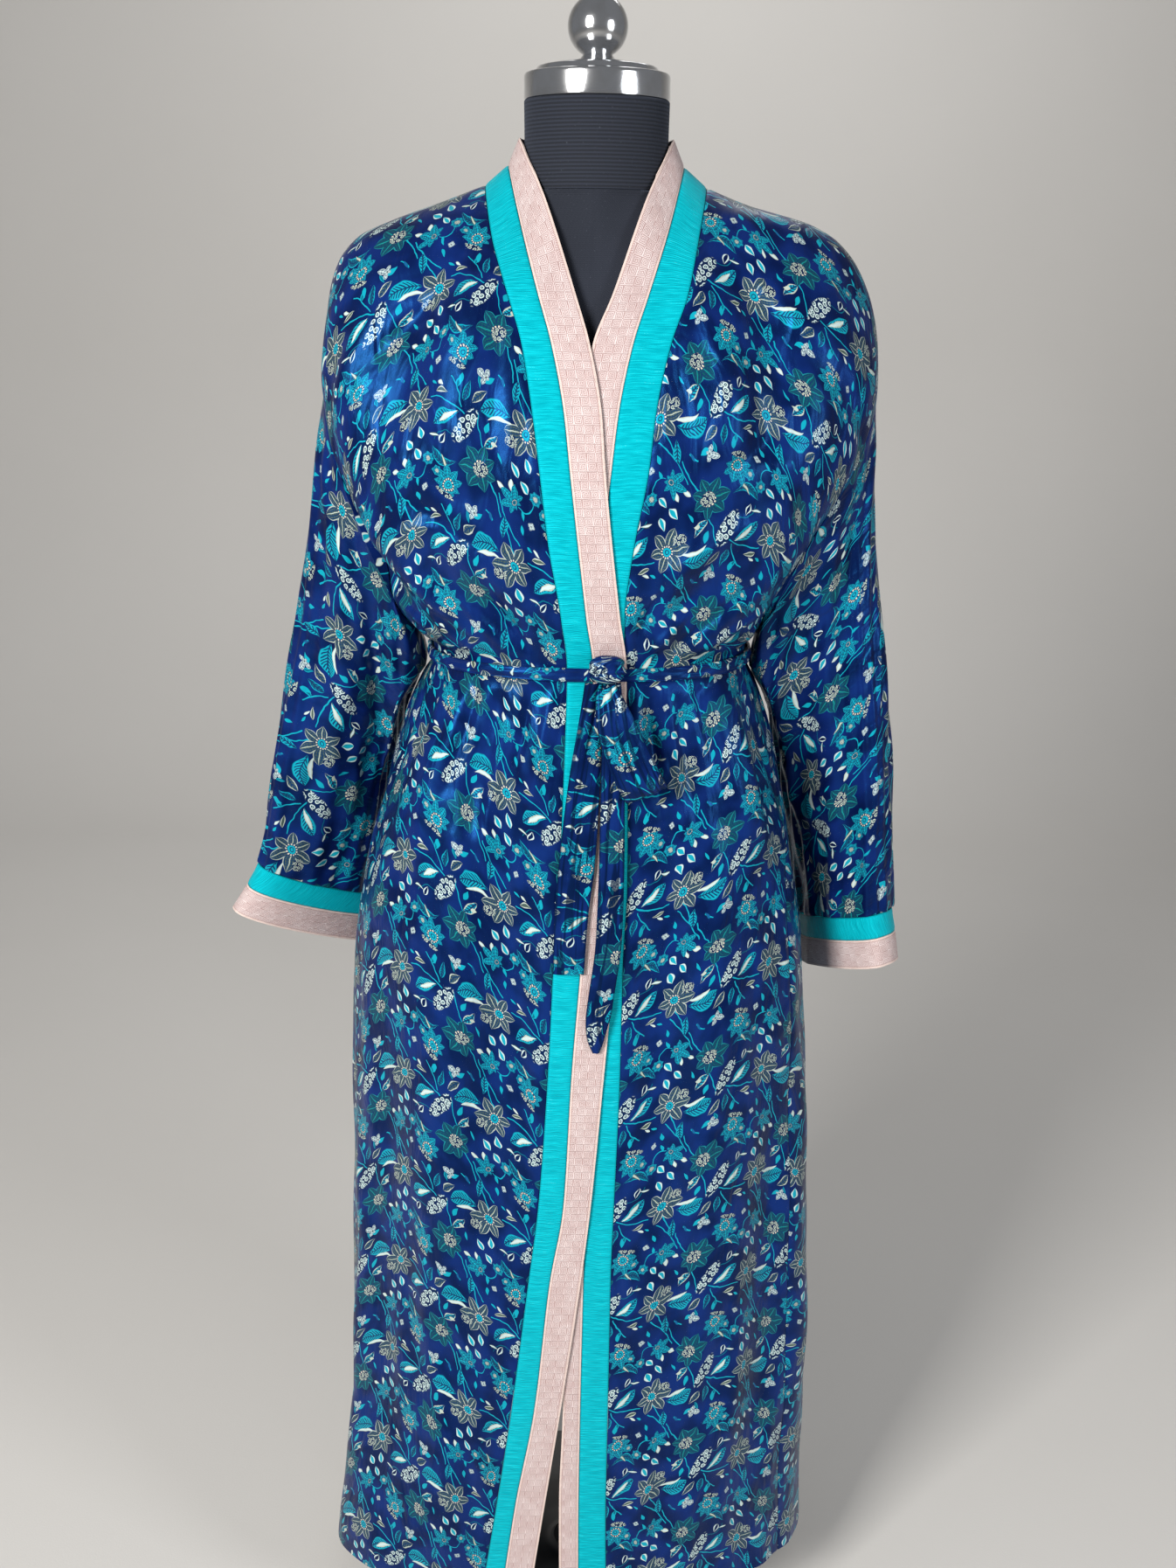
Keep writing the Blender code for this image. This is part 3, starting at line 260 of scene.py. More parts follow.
# Dress form. A moulded torso without limbs, covered in dark navy stretch jersey in panels with a
# seam down the centre front, and a short neck of ribbed jersey sewn on round its base.
FORM_COLUMNS = ("height", "half", "front", "back", "squareness")
FORM_ROWS = (
    (1.440, 0.0612, 0.0612, 0.0612, 2.0),
    (1.436, 0.0980, 0.0616, 0.0640, 1.35),
    (1.430, 0.1272, 0.0625, 0.0680, 1.25),
    (1.422, 0.1470, 0.0637, 0.0740, 1.30),
    (1.408, 0.1660, 0.0665, 0.0860, 1.50),
    (1.390, 0.1790, 0.0735, 0.0940, 1.80),
    (1.360, 0.1850, 0.0895, 0.1020, 2.1),
    (1.320, 0.1880, 0.1040, 0.1070, 2.3),
    (1.260, 0.1800, 0.1180, 0.1080, 2.3),
    (1.200, 0.1640, 0.1280, 0.1050, 2.3),
    (1.140, 0.1480, 0.1230, 0.0980, 2.3),
    (1.085, 0.1370, 0.1110, 0.0930, 2.3),
    (1.046, 0.1310, 0.1050, 0.0900, 2.3),
    (0.990, 0.1420, 0.1080, 0.0980, 2.4),
    (0.930, 0.1580, 0.1120, 0.1090, 2.4),
    (0.860, 0.1700, 0.1160, 0.1190, 2.4),
    (0.790, 0.1720, 0.1160, 0.1210, 2.4),
    (0.745, 0.1680, 0.1140, 0.1180, 2.4),
)
NECK_RADIUS = 0.0610
NECK_BOTTOM = 1.4403
CAP_BOTTOM = 1.5115
RIB_COUNT = 60
RIB_BOTTOM = NECK_BOTTOM + 0.0006
RIB_LENGTH = 0.0698
RIB_DEPTH = 0.0004
PANEL_GROOVE = 0.0006
PANEL_GROOVE_HALF = 0.0011
JERSEY_NAVY = (0.0080, 0.0110, 0.0200, 1)
JERSEY_WORN = (0.0135, 0.0170, 0.0290, 1)
JERSEY_LINT = (0.040, 0.046, 0.062, 1)
JERSEY = {"Roughness": 0.9, "Sheen_Weight": 0.22, "Sheen_Roughness": 0.4, "Sheen_Tint": (0.35, 0.42, 0.60, 1)}


def smooth(at, places, values):
    """Value at each place on a smooth curve through the points, with no overshoot between them:
    cubic pieces whose slope at each point is the weighted harmonic mean of its two neighbours'."""
    places = np.asarray(places, float)
    values = np.asarray(values, float)
    if places[0] > places[-1]:
        places = places[::-1]
        values = values[::-1]
    step = np.diff(places)
    slope = np.diff(values) / step
    same_way = slope[:-1] * slope[1:] > 0
    before = 2 * step[1:] + step[:-1]
    after = step[1:] + 2 * step[:-1]
    safe = np.where(same_way, slope[:-1], 1.0), np.where(same_way, slope[1:], 1.0)
    inner = np.where(same_way, (before + after) / (before / safe[0] + after / safe[1]), 0.0)
    tangent = np.concatenate(([slope[0]], inner, [slope[-1]]))
    at = np.clip(np.asarray(at, float), places[0], places[-1])
    k = np.clip(np.searchsorted(places, at) - 1, 0, len(step) - 1)
    t = (at - places[k]) / step[k]
    return (
        values[k] * (1 + 2 * t) * (1 - t) ** 2
        + tangent[k] * step[k] * t * (1 - t) ** 2
        + values[k + 1] * t**2 * (3 - 2 * t)
        - tangent[k + 1] * step[k] * t**2 * (1 - t)
    )


def named(rows, names, name, height):
    """Smooth curve through one named column of a table, over its first column, the height."""
    return smooth(height, [row[0] for row in rows], [row[names.index(name)] for row in rows])


def torso_rings(heights, around):
    """Level squared ovals: reach = (|cos/half|^s + |sin/depth|^s)^(-1/s) at each angle, with a
    shallow groove down the centre front where the panels are sewn."""
    heights = heights[:, None]
    half, front, back, square = (named(FORM_ROWS, FORM_COLUMNS, name, heights) for name in FORM_COLUMNS[1:])
    turn = np.linspace(0, 2 * math.pi, around, endpoint=False)[None, :]
    depth = np.where(np.sin(turn) < 0, front, back)
    reach = (np.abs(np.cos(turn) / half) ** square + np.abs(np.sin(turn) / depth) ** square) ** (-1 / square)
    reach = reach - PANEL_GROOVE * np.exp(-(((turn - 1.5 * math.pi) * reach / PANEL_GROOVE_HALF) ** 2))
    return np.stack([reach * np.cos(turn), reach * np.sin(turn), heights + 0 * turn], -1)


jersey, n, shader = finish_of("form_jersey", **JERSEY)
place = n.own_place()
tone = n.mix(n.band(n.noise(place, 9.0, 3.0), 0.35, 0.70), JERSEY_NAVY, JERSEY_WORN)
n.set(shader, "Base Color", n.mix(n.band(n.noise(place, 700.0), 0.66, 0.80), tone, JERSEY_LINT))
knit = n.wave(place, 190.0, 0.6, "Z") + n.wave(place, 240.0, 0.4, "DIAGONAL") * 0.5
n.set(shader, "Normal", n.bump(knit, 0.0003, 0.6))
torso_heights = np.concatenate([np.linspace(0.745, 1.36, 90), np.linspace(1.364, 1.440, 36)])
take_place(turned_piece("torso", torso_rings(torso_heights, 180), jersey, 60), "form_torso")

ribbed, n, shader = finish_of("form_neck_rib", **JERSEY)
place = n.own_place()
rib = n.wave(place, 105.0, 0.15, "Z")
lint = n.noise(place, 600.0)
# Painted shade: the knit is darker in the grooves between its ribs, following the same wave as the bump.
tone = n.mix(n.band(rib, 0.15, 0.8), (0.0050, 0.0070, 0.0130, 1), (0.0150, 0.0190, 0.0320, 1))
n.set(shader, "Base Color", n.mix(n.band(lint, 0.66, 0.80), tone, JERSEY_LINT))
n.set(shader, "Normal", n.bump(rib + lint * 0.3, 0.0007, 0.8))
NECK_PROFILE = [(0.004, NECK_BOTTOM), (0.0602, NECK_BOTTOM), (NECK_RADIUS, RIB_BOTTOM)]
NECK_PROFILE += [
    (NECK_RADIUS - RIB_DEPTH * math.sin(math.pi * k / RIB_COUNT), RIB_BOTTOM + RIB_LENGTH * k / RIB_COUNT)
    for k in range(1, RIB_COUNT)
]
NECK_PROFILE += [
    (NECK_RADIUS, CAP_BOTTOM - 0.0010), (0.0604, CAP_BOTTOM - 0.0004), (0.004, CAP_BOTTOM - 0.0004),
]
take_place(turned_piece("neck", circle_rings(NECK_PROFILE, 128), ribbed, 60), "form_neck")

# Neck cap and ball finial. Both are turned from steel and chromed: a shallow cap with two steps,
# and on it a foot with a polished ball, screwed down through the middle.
CAP_TOP = 1.5420
BALL_RADIUS = 0.0250
FOOT_BOTTOM = CAP_TOP + 0.0003
BALL_CENTRE = FOOT_BOTTOM + 0.004 + BALL_RADIUS * 0.9
CAP_PROFILE = (
    (0.004, 1.5115), (0.0603, 1.5115), (0.0608, 1.5119), (0.0610, 1.5128), (0.0610, 1.5290),
    (0.0608, 1.5305), (0.0602, 1.5316), (0.0592, 1.5321), (0.0524, 1.5329), (0.0518, 1.5333),
    (0.0506, 1.5360), (0.0501, 1.5368), (0.0490, 1.5374), (0.0365, 1.5399), (0.0350, 1.5402),
    (0.0170, 1.5418), (0.0155, 1.5420), (0.003, 1.5420),
)
chrome, n, shader = finish_of("chrome", Metallic=1.0, Roughness=0.12, Base_Color=(0.72, 0.73, 0.75, 1))
place = n.own_place()
smear = n.noise(place, 60.0, 3.0)
n.set(shader, "Roughness", n.between(smear, 0.07, 0.22))
n.set(shader, "Base Color", n.mix(n.band(smear, 0.3, 0.8), (0.74, 0.75, 0.77, 1), (0.62, 0.62, 0.62, 1)))
n.set(shader, "Normal", n.bump(n.wave(place, 900.0, 0.5, "Z"), 0.00004, 0.25))
take_place(turned_piece("neck_cap_chrome", circle_rings(CAP_PROFILE, 128), chrome, 30), "neck_cap")
ball_turn = np.radians(np.concatenate([np.linspace(-61, 86, 48), [89.3]]))
BALL_PROFILE = [
    (0.003, FOOT_BOTTOM), (0.0150, FOOT_BOTTOM),
    (0.0155, FOOT_BOTTOM + 0.0005), (0.0135, FOOT_BOTTOM + 0.0030),
] + [(BALL_RADIUS * math.cos(t), BALL_CENTRE + BALL_RADIUS * math.sin(t)) for t in ball_turn]
take_place(turned_piece("ball_chrome", circle_rings(BALL_PROFILE, 96), chrome, 35), "ball_finial")

# Back panel. One width of the printed satin from neck and shoulders to the hem, hanging free from
# the belt. It is sewn to the fronts along the shoulders and side seams, and to the two borders.
HEM_HEIGHT = 0.100
UNDERARM_HEIGHT = 1.066
BELT_HEIGHT = 1.048
ARMHOLE_TOP_HEIGHT = 1.276
ARMHOLE_TUCK = 0.014
NECK_SIDE_HEIGHT = 1.445
SEAM_SWING_TOP = 1.030
SEAM_SWING_DROP = 0.240
SEAM_SWING_ANGLE = math.radians(24)
COLLAR_REACH = 0.0642
TOP_LAYER_LIFT = 0.0030
SATIN_WALL = 0.0012
SEAM_SINK = 0.0007
SEAM_REACH = 0.0016
SEAM_GAP = 0.0002
NECK_SHARE = 4 / 14
INNER_FALL = 1.15
RIGHT = -1
LEFT = 1
FRONT = -1
BACK = 1
BODY_COLUMNS = ("height", "right_half", "left_half", "front", "back", "squareness")
BODY_ROWS = (
    (1.445, 0.094, 0.094, 0.020, 0.070, 2.4),
    (1.432, 0.128, 0.128, 0.034, 0.094, 2.4),
    (1.416, 0.172, 0.184, 0.052, 0.104, 2.5),
    (1.402, 0.202, 0.208, 0.066, 0.109, 2.6),
    (1.380, 0.220, 0.226, 0.084, 0.113, 2.6),
    (1.350, 0.229, 0.238, 0.104, 0.117, 2.6),
    (1.316, 0.233, 0.244, 0.118, 0.120, 2.6),
    (1.276, 0.235, 0.247, 0.130, 0.121, 2.6),
    (1.240, 0.234, 0.242, 0.136, 0.120, 2.6),
    (1.200, 0.226, 0.228, 0.139, 0.118, 2.6),
    (1.160, 0.212, 0.206, 0.137, 0.114, 2.6),
    (1.120, 0.193, 0.183, 0.131, 0.110, 2.6),
    (1.085, 0.173, 0.164, 0.123, 0.106, 2.6),
    (1.066, 0.155, 0.150, 0.117, 0.103, 2.5),
    (1.056, 0.143, 0.142, 0.1135, 0.1005, 2.4),
    (1.040, 0.143, 0.142, 0.1130, 0.1005, 2.4),
    (1.020, 0.152, 0.149, 0.1150, 0.104, 2.5),
    (0.985, 0.166, 0.160, 0.1190, 0.112, 2.6),
    (0.940, 0.180, 0.173, 0.1230, 0.121, 2.7),
    (0.890, 0.195, 0.186, 0.1265, 0.129, 2.9),
    (0.840, 0.206, 0.196, 0.1290, 0.135, 3.0),
    (0.780, 0.215, 0.206, 0.1310, 0.139, 3.1),
    (0.700, 0.221, 0.212, 0.1330, 0.142, 3.2),
    (0.450, 0.229, 0.225, 0.1370, 0.146, 3.3),
    (0.300, 0.235, 0.233, 0.1400, 0.149, 3.3),
    (0.180, 0.242, 0.235, 0.1420, 0.151, 3.2),
    (0.100, 0.254, 0.238, 0.1440, 0.152, 3.0),
)

# Large folds: each runs from one angle round the body and height to another, and has a rise and a
# half width in metres. Angles are in degrees from the centre front
FOLD_ROWS = (
    (-60, 1.400, -52, 1.230, -0.0105, 0.024),
    (-47, 1.390, -41, 1.200, 0.0085, 0.026),
    (-80, 1.200, -57, 1.065, -0.0128, 0.020),
    (-72, 1.190, -44, 1.065, 0.0090, 0.020),
    (-60, 1.140, -16, 1.068, -0.0066, 0.020),
    (-48, 1.200, -20, 1.090, 0.0050, 0.020),
    (58, 1.400, 50, 1.230, -0.0105, 0.024),
    (43, 1.380, 38, 1.190, 0.0085, 0.026),
    (82, 1.180, 70, 1.070, -0.0120, 0.020),
    (66, 1.170, 44, 1.068, 0.0075, 0.020),
    (50, 1.130, 16, 1.085, -0.0055, 0.020),
    (44, 1.190, 20, 1.110, 0.0044, 0.020),
    (-52, 1.030, -60, 0.860, 0.0095, 0.020),
    (-38, 1.030, -40, 0.900, -0.0076, 0.020),
    (50, 1.030, 58, 0.880, 0.0085, 0.020),
    (36, 1.030, 38, 0.920, -0.0066, 0.020),
    (-62, 0.800, -62, 0.130, -0.0125, 0.026),
    (-46, 0.940, -48, 0.330, 0.0110, 0.030),
    (-29, 0.960, -32, 0.500, -0.0085, 0.026),
    (61, 0.700, 57, 0.100, -0.0133, 0.026),
    (44, 0.950, 43, 0.330, 0.0105, 0.030),
    (70, 0.700, 72, 0.200, 0.0076, 0.022),
    (28, 0.960, 27, 0.480, -0.0075, 0.026),
    (-44, 0.360, -48, 0.090, 0.0114, 0.030),
    (38, 0.400, 42, 0.090, 0.0095, 0.026),
    (-88, 0.900, -92, 0.200, 0.0076, 0.030),
    (-64, 0.270, -68, -0.060, 0.0160, 0.040),
    (96, 1.041, 99, 0.900, 0.0085, 0.032),
    (-96, 1.041, -99, 0.900, 0.0050, 0.032),
    (95, 1.110, 97, 1.056, 0.0080, 0.026),
    (-95, 1.110, -97, 1.056, 0.0080, 0.026),
    (180, 1.240, 180, 1.070, -0.0090, 0.020),
    (158, 1.230, 166, 1.066, 0.0133, 0.020),
    (-156, 1.220, -166, 1.066, 0.0123, 0.020),
    (138, 1.200, 150, 1.066, -0.0095, 0.020),
    (-134, 1.210, -148, 1.066, -0.0114, 0.020),
    (116, 1.190, 134, 1.068, 0.0133, 0.020),
    (-112, 1.200, -132, 1.068, 0.0142, 0.020),
    (172, 1.030, 168, 0.820, 0.0114, 0.020),
    (-170, 1.030, -160, 0.840, -0.0095, 0.020),
    (150, 1.030, 142, 0.860, -0.0095, 0.020),
    (-148, 1.030, -138, 0.800, 0.0114, 0.020),
    (128, 1.030, 118, 0.880, 0.0114, 0.020),
    (-122, 1.030, -112, 0.880, 0.0095, 0.020),
    (146, 0.800, 144, 0.090, 0.0133, 0.030),
    (168, 0.700, 170, 0.090, -0.0133, 0.026),
    (-164, 0.760, -166, 0.090, 0.0133, 0.030),
    (-136, 0.720, -134, 0.090, -0.0123, 0.026),
    (116, 0.620, 114, 0.090, -0.0114, 0.024),
    (-110, 0.600, -112, 0.090, 0.0114, 0.026),
)
FOLD_GIRTH_RADIUS = 0.19

# Creases between the large folds, in the same columns: those drawn in by the belt, those that
# run from under the arms, and slack ones in the skirt
CREASE_ROWS = (
    (-14, 1.080, -19, 1.120, 0.0020, 0.0050),
    (-22, 1.058, -38, 1.125, -0.0030, 0.0060),
    (-30, 1.058, -50, 1.135, 0.0026, 0.0060),
    (-40, 1.060, -62, 1.120, -0.0030, 0.0060),
    (-52, 1.058, -74, 1.105, 0.0024, 0.0055),
    (-26, 1.140, -58, 1.205, -0.0022, 0.0080),
    (-22, 1.190, -44, 1.270, 0.0020, 0.0100),
    (-66, 1.290, -50, 1.380, -0.0024, 0.0080),
    (-74, 1.235, -66, 1.350, 0.0024, 0.0080),
    (-70, 1.150, -40, 1.180, 0.0022, 0.0070),
    (-34, 1.330, -42, 1.400, 0.0018, 0.0090),
    (17, 1.075, 28, 1.135, -0.0028, 0.0060),
    (22, 1.058, 40, 1.120, 0.0028, 0.0060),
    (30, 1.058, 54, 1.130, -0.0032, 0.0065),
    (38, 1.058, 66, 1.110, 0.0026, 0.0055),
    (52, 1.058, 76, 1.100, -0.0024, 0.0050),
    (24, 1.130, 52, 1.190, 0.0024, 0.0080),
    (30, 1.200, 58, 1.260, -0.0022, 0.0090),
    (70, 1.280, 56, 1.390, 0.0026, 0.0080),
    (78, 1.210, 64, 1.330, -0.0024, 0.0080),
    (28, 1.330, 40, 1.410, -0.0018, 0.0090),
    (-8, 1.039, -14, 0.955, -0.0016, 0.0050),
    (-16, 1.039, -24, 0.900, 0.0026, 0.0070),
    (-24, 1.039, -30, 0.940, -0.0028, 0.0060),
    (-33, 1.039, -38, 0.870, 0.0028, 0.0070),
    (-46, 1.039, -50, 0.930, -0.0030, 0.0060),
    (-58, 1.039, -66, 0.850, 0.0030, 0.0080),
    (-72, 1.039, -80, 0.880, -0.0032, 0.0070),
    (16, 1.039, 20, 0.930, 0.0024, 0.0060),
    (24, 1.039, 30, 0.900, -0.0028, 0.0065),
    (32, 1.039, 38, 0.880, 0.0028, 0.0070),
    (44, 1.039, 50, 0.930, -0.0030, 0.0060),
    (56, 1.039, 62, 0.850, 0.0030, 0.0080),
    (68, 1.039, 76, 0.900, -0.0028, 0.0070),
    (-20, 0.860, -26, 0.600, -0.0022, 0.0110),
    (-56, 0.640, -52, 0.300, -0.0030, 0.0100),
    (-36, 0.520, -33, 0.160, 0.0028, 0.0110),
    (-72, 0.560, -74, 0.120, 0.0034, 0.0110),
    (-26, 0.330, -30, 0.060, -0.0030, 0.0110),
    (20, 0.760, 18, 0.380, 0.0020, 0.0110),
    (34, 0.620, 35, 0.200, -0.0028, 0.0110),
    (52, 0.540, 48, 0.140, 0.0030, 0.0100),
    (24, 0.330, 26, 0.060, 0.0026, 0.0110),
    (66, 0.420, 66, 0.060, -0.0034, 0.0110),
    (100, 1.060, 96, 1.130, 0.0030, 0.0060),
    (112, 1.060, 106, 1.140, -0.0034, 0.0065),
    (124, 1.060, 112, 1.160, 0.0034, 0.0070),
    (138, 1.060, 124, 1.170, -0.0036, 0.0075),
    (150, 1.060, 142, 1.190, 0.0034, 0.0075),
    (162, 1.060, 158, 1.180, -0.0032, 0.0070),
    (174, 1.060, 176, 1.150, 0.0030, 0.0065),
    (-172, 1.060, -170, 1.160, -0.0030, 0.0070),
    (-160, 1.060, -152, 1.180, 0.0034, 0.0075),
    (-146, 1.060, -132, 1.180, -0.0036, 0.0075),
    (-130, 1.060, -118, 1.160, 0.0034, 0.0070),
    (-116, 1.060, -108, 1.150, -0.0034, 0.0065),
    (-102, 1.060, -98, 1.130, 0.0030, 0.0060),
    (150, 1.240, 112, 1.330, 0.0034, 0.0110),
    (-148, 1.230, -110, 1.340, 0.0034, 0.0110),
    (166, 1.300, 128, 1.370, -0.0030, 0.0120),
    (-168, 1.310, -130, 1.380, -0.0030, 0.0120),
    (178, 1.370, 150, 1.410, 0.0022, 0.0100),
    (98, 1.036, 102, 0.860, -0.0034, 0.0080),
    (114, 1.036, 118, 0.920, -0.0034, 0.0070),
    (130, 1.036, 134, 0.880, 0.0034, 0.0080),
    (143, 1.036, 146, 0.930, 0.0030, 0.0065),
    (158, 1.036, 154, 0.860, -0.0034, 0.0080),
    (176, 1.036, 178, 0.900, 0.0034, 0.0075),
    (-166, 1.036, -172, 0.860, 0.0030, 0.0075),
    (-154, 1.036, -152, 0.920, -0.0030, 0.0065),
    (-140, 1.036, -142, 0.860, 0.0034, 0.0080),
    (-126, 1.036, -128, 0.930, -0.0032, 0.0070),
    (-110, 1.036, -104, 0.880, -0.0034, 0.0080),
    (126, 0.700, 122, 0.200, 0.0034, 0.0110),
    (156, 0.560, 152, 0.100, -0.0036, 0.0120),
    (178, 0.760, -178, 0.300, 0.0032, 0.0120),
    (-150, 0.640, -146, 0.100, 0.0036, 0.0120),
    (-122, 0.560, -120, 0.160, -0.0034, 0.0110),
    (-98, 0.640, -96, 0.160, -0.0034, 0.0110),
    (96, 0.640, 94, 0.160, 0.0034, 0.0110),
)
CREASE_GAIN = 1.7
FOLD_POWER = 0.7
CREASE_POWER = 0.9


def body(name, height):
    return named(BODY_ROWS, BODY_COLUMNS, name, height)


def half_width(side, height):
    return body("right_half" if side == RIGHT else "left_half", height)


def fold_rise(angle, height, rows, power=FOLD_POWER):
    """Sum of the folds: each one is a ridge along a straight line in angle and height, its rise
    times sin(pi * share along)^power times exp(-(distance off / half width)^2)."""
    rise = np.zeros(np.broadcast(angle, height).shape)
    for start_angle, start_height, end_angle, end_height, peak, half in rows:
        across = np.radians((angle - start_angle + 180) % 360 - 180) * FOLD_GIRTH_RADIUS
        down = height - start_height
        run_across = math.radians((end_angle - start_angle + 180) % 360 - 180) * FOLD_GIRTH_RADIUS
        run_down = end_height - start_height
        length = math.hypot(run_across, run_down)
        along = (across * run_across + down * run_down) / length**2
        off = (across * run_down - down * run_across) / length
        rise = rise + peak * np.sin(math.pi * np.clip(along, 0, 1)) ** power * np.exp(-((off / half) ** 2))
    return rise


def slack(angle, height):
    """Small uneven waves of loose cloth: three sines that bend each other, in metres."""
    turn = np.radians(angle)
    one = np.sin(31 * turn + 9 * height + 2.1 * np.sin(5 * turn + 11 * height))
    two = np.sin(17 * turn - 23 * height + 1.7 * np.sin(3 * turn - 7 * height))
    three = np.sin(47 * height + 6 * turn + 1.9 * np.sin(11 * turn))
    return 0.0008 * one + 0.0010 * two + 0.0005 * three


def wall_point(across, height, face, lift=0.0, crease=None):
    """Point of the robe's front or back: a level squared oval |x/half|^s + |y/depth|^s = 1, moved
    out along its own normal by the folds, a lift, and the share of the creases that shows."""
    across = np.asarray(across, float)
    height = np.asarray(height, float)
    half = np.where(across < 0, half_width(RIGHT, height), half_width(LEFT, height))
    depth = body("front" if face == FRONT else "back", height)
    square = body("squareness", height)
    share = np.clip(np.abs(across) / half, 0, 1)
    reach = (1 - share**square) ** (1 / square)
    out_x = np.sign(across) * share ** (square - 1) / half
    out_y = face * reach ** (square - 1) / depth
    size = np.hypot(out_x, out_y)
    y = face * depth * reach
    angle = np.degrees(np.arctan2(across, -y))
    rise = fold_rise(angle, height, FOLD_ROWS) + lift
    if crease is not None:
        creases = fold_rise(angle, height, CREASE_ROWS, CREASE_POWER)
        rise = rise + crease * (CREASE_GAIN * creases + slack(angle, height))
    return np.stack([across + out_x / size * rise, y + out_y / size * rise, height + 0 * across], axis=-1)


def ramp(value, low, high):
    """Smooth rise from 0 at low to 1 at high."""
    share = np.clip((value - low) / (high - low), 0, 1)
    return share * share * (3 - 2 * share)


def crease_share(share_across, height):
    """How much of the creases a panel shows: none over the shoulders, none at the armhole and
    none in the band of the belt."""
    belt = ramp(np.abs(height - BELT_HEIGHT), 0.009, 0.024)
    armhole = 1 - ramp(height, 1.025, 1.066) * (1 - ramp(1 - share_across, 0.0, 0.10))
    ridge = 1 - ramp(height, 1.370, 1.400)
    return belt * armhole * ridge


def oval_across(side, height, turn, face):
    """Distance across of the level section in a direction turned from the centre front or back."""
    half = half_width(side, height)
    depth = body("front" if face == FRONT else "back", height)
    square = body("squareness", height)
    size = (np.abs(np.cos(turn) / depth) ** square + np.abs(np.sin(turn) / half) ** square) ** (-1 / square)
    return size * np.sin(turn)


def seam_turn(side, height):
    """Angle of the side seam from the centre front. At the wearer's left it swings forward."""
    swing = SEAM_SWING_ANGLE if side == LEFT else 0.0
    return math.pi / 2 - swing * ramp(SEAM_SWING_TOP - height, 0, SEAM_SWING_DROP)


def turn_point(side, height, turn, crease):
    """Point of the body in a direction turned from the centre front, round to the centre back."""
    front = side * oval_across(side, height, np.minimum(turn, math.pi / 2), FRONT)
    back = side * oval_across(side, height, math.pi - np.maximum(turn, math.pi / 2), BACK)
    ahead = (turn <= math.pi / 2)[..., None]
    return np.where(
        ahead, wall_point(front, height, FRONT, 0, crease), wall_point(back, height, BACK, 0, crease))


def armhole_drop(share):
    """Share of the armhole's height that a share of its rows has come down."""
    return (1 - np.cos(math.pi * share)) / 2


def armhole_across(side, drop):
    """Distance across of the armhole seam, tucked in between its top and the underarm."""
    height = ARMHOLE_TOP_HEIGHT + (UNDERARM_HEIGHT - ARMHOLE_TOP_HEIGHT) * drop
    return half_width(side, height) - ARMHOLE_TUCK * np.sin(math.pi * drop)


def shoulder_line(side, share):
    """Across and height of the shoulder fold, from the neck side (0) to the armhole's top (1)."""
    heights = np.linspace(NECK_SIDE_HEIGHT, ARMHOLE_TOP_HEIGHT, 400)
    across = half_width(side, heights)
    length = np.concatenate(([0], np.cumsum(np.hypot(np.diff(across), np.diff(heights)))))
    at = np.asarray(share) * length[-1]
    return np.interp(at, length, across), np.interp(at, length, heights)


BORDER_COLUMNS = (
    "height", "right_outer", "right_seam", "right_inner", "left_outer", "left_seam", "left_inner",
)
BORDER_ROWS = (
    (1.360, -0.0705, -0.0460, -0.0155, 0.0755, 0.0445, 0.0150),
    (1.320, -0.0580, -0.0340, -0.0030, 0.0620, 0.0315, -0.0010),
    (1.270, -0.0492, -0.0237, 0.0068, 0.0515, 0.0212, -0.0090),
    (1.220, -0.0425, -0.0178, 0.0110, 0.0460, 0.0155, -0.0145),
    (1.160, -0.0350, -0.0107, 0.0175, 0.0355, 0.0095, -0.0200),
    (1.100, -0.0248, -0.0035, 0.0248, 0.0292, 0.0040, -0.0240),
    (1.045, -0.0192, 0.0030, 0.0315, 0.0300, 0.0030, -0.0250),
    (0.940, -0.0218, 0.0030, 0.0320, 0.0350, 0.0075, -0.0210),
    (0.860, -0.0245, 0.0005, 0.0300, 0.0362, 0.0090, -0.0190),
    (0.780, -0.0291, -0.0045, 0.0255, 0.0336, 0.0070, -0.0210),
    (0.677, -0.0333, -0.0115, 0.0182, 0.0331, 0.0060, -0.0225),
    (0.540, -0.0416, -0.0180, 0.0078, 0.0299, 0.0030, -0.0240),
    (0.455, -0.0510, -0.0305, -0.0010, 0.0281, 0.0019, -0.0200),
    (0.313, -0.0670, -0.0445, -0.0187, 0.0278, 0.0005, -0.0168),
    (0.206, -0.0810, -0.0622, -0.0330, 0.0275, 0.0000, -0.0195),
    (0.100, -0.0960, -0.0760, -0.0470, 0.0292, 0.0008, -0.0187),
)
COLLAR_COLUMNS = ("outer", "seam", "inner")
COLLAR_ROWS = (
    ((0.000, 0.098, 1.430), (0.000, 0.083, 1.452), (0.0000, 0.0670, 1.476)),
    ((0.060, 0.079, 1.436), (0.053, 0.063, 1.457), (0.0470, 0.0490, 1.481)),
    ((0.094, 0.000, 1.445), (0.0745, -0.002, 1.461), (0.0652, 0.000, 1.483)),
    ((0.085, -0.064, 1.402), (0.062, -0.0585, 1.414), (0.0430, -0.0525, 1.437)),
)


def smooth_line(at, places, points):
    """Smooth curve through points of space, each axis by itself."""
    return np.stack([smooth(at, places, points[:, axis]) for axis in range(3)], -1)


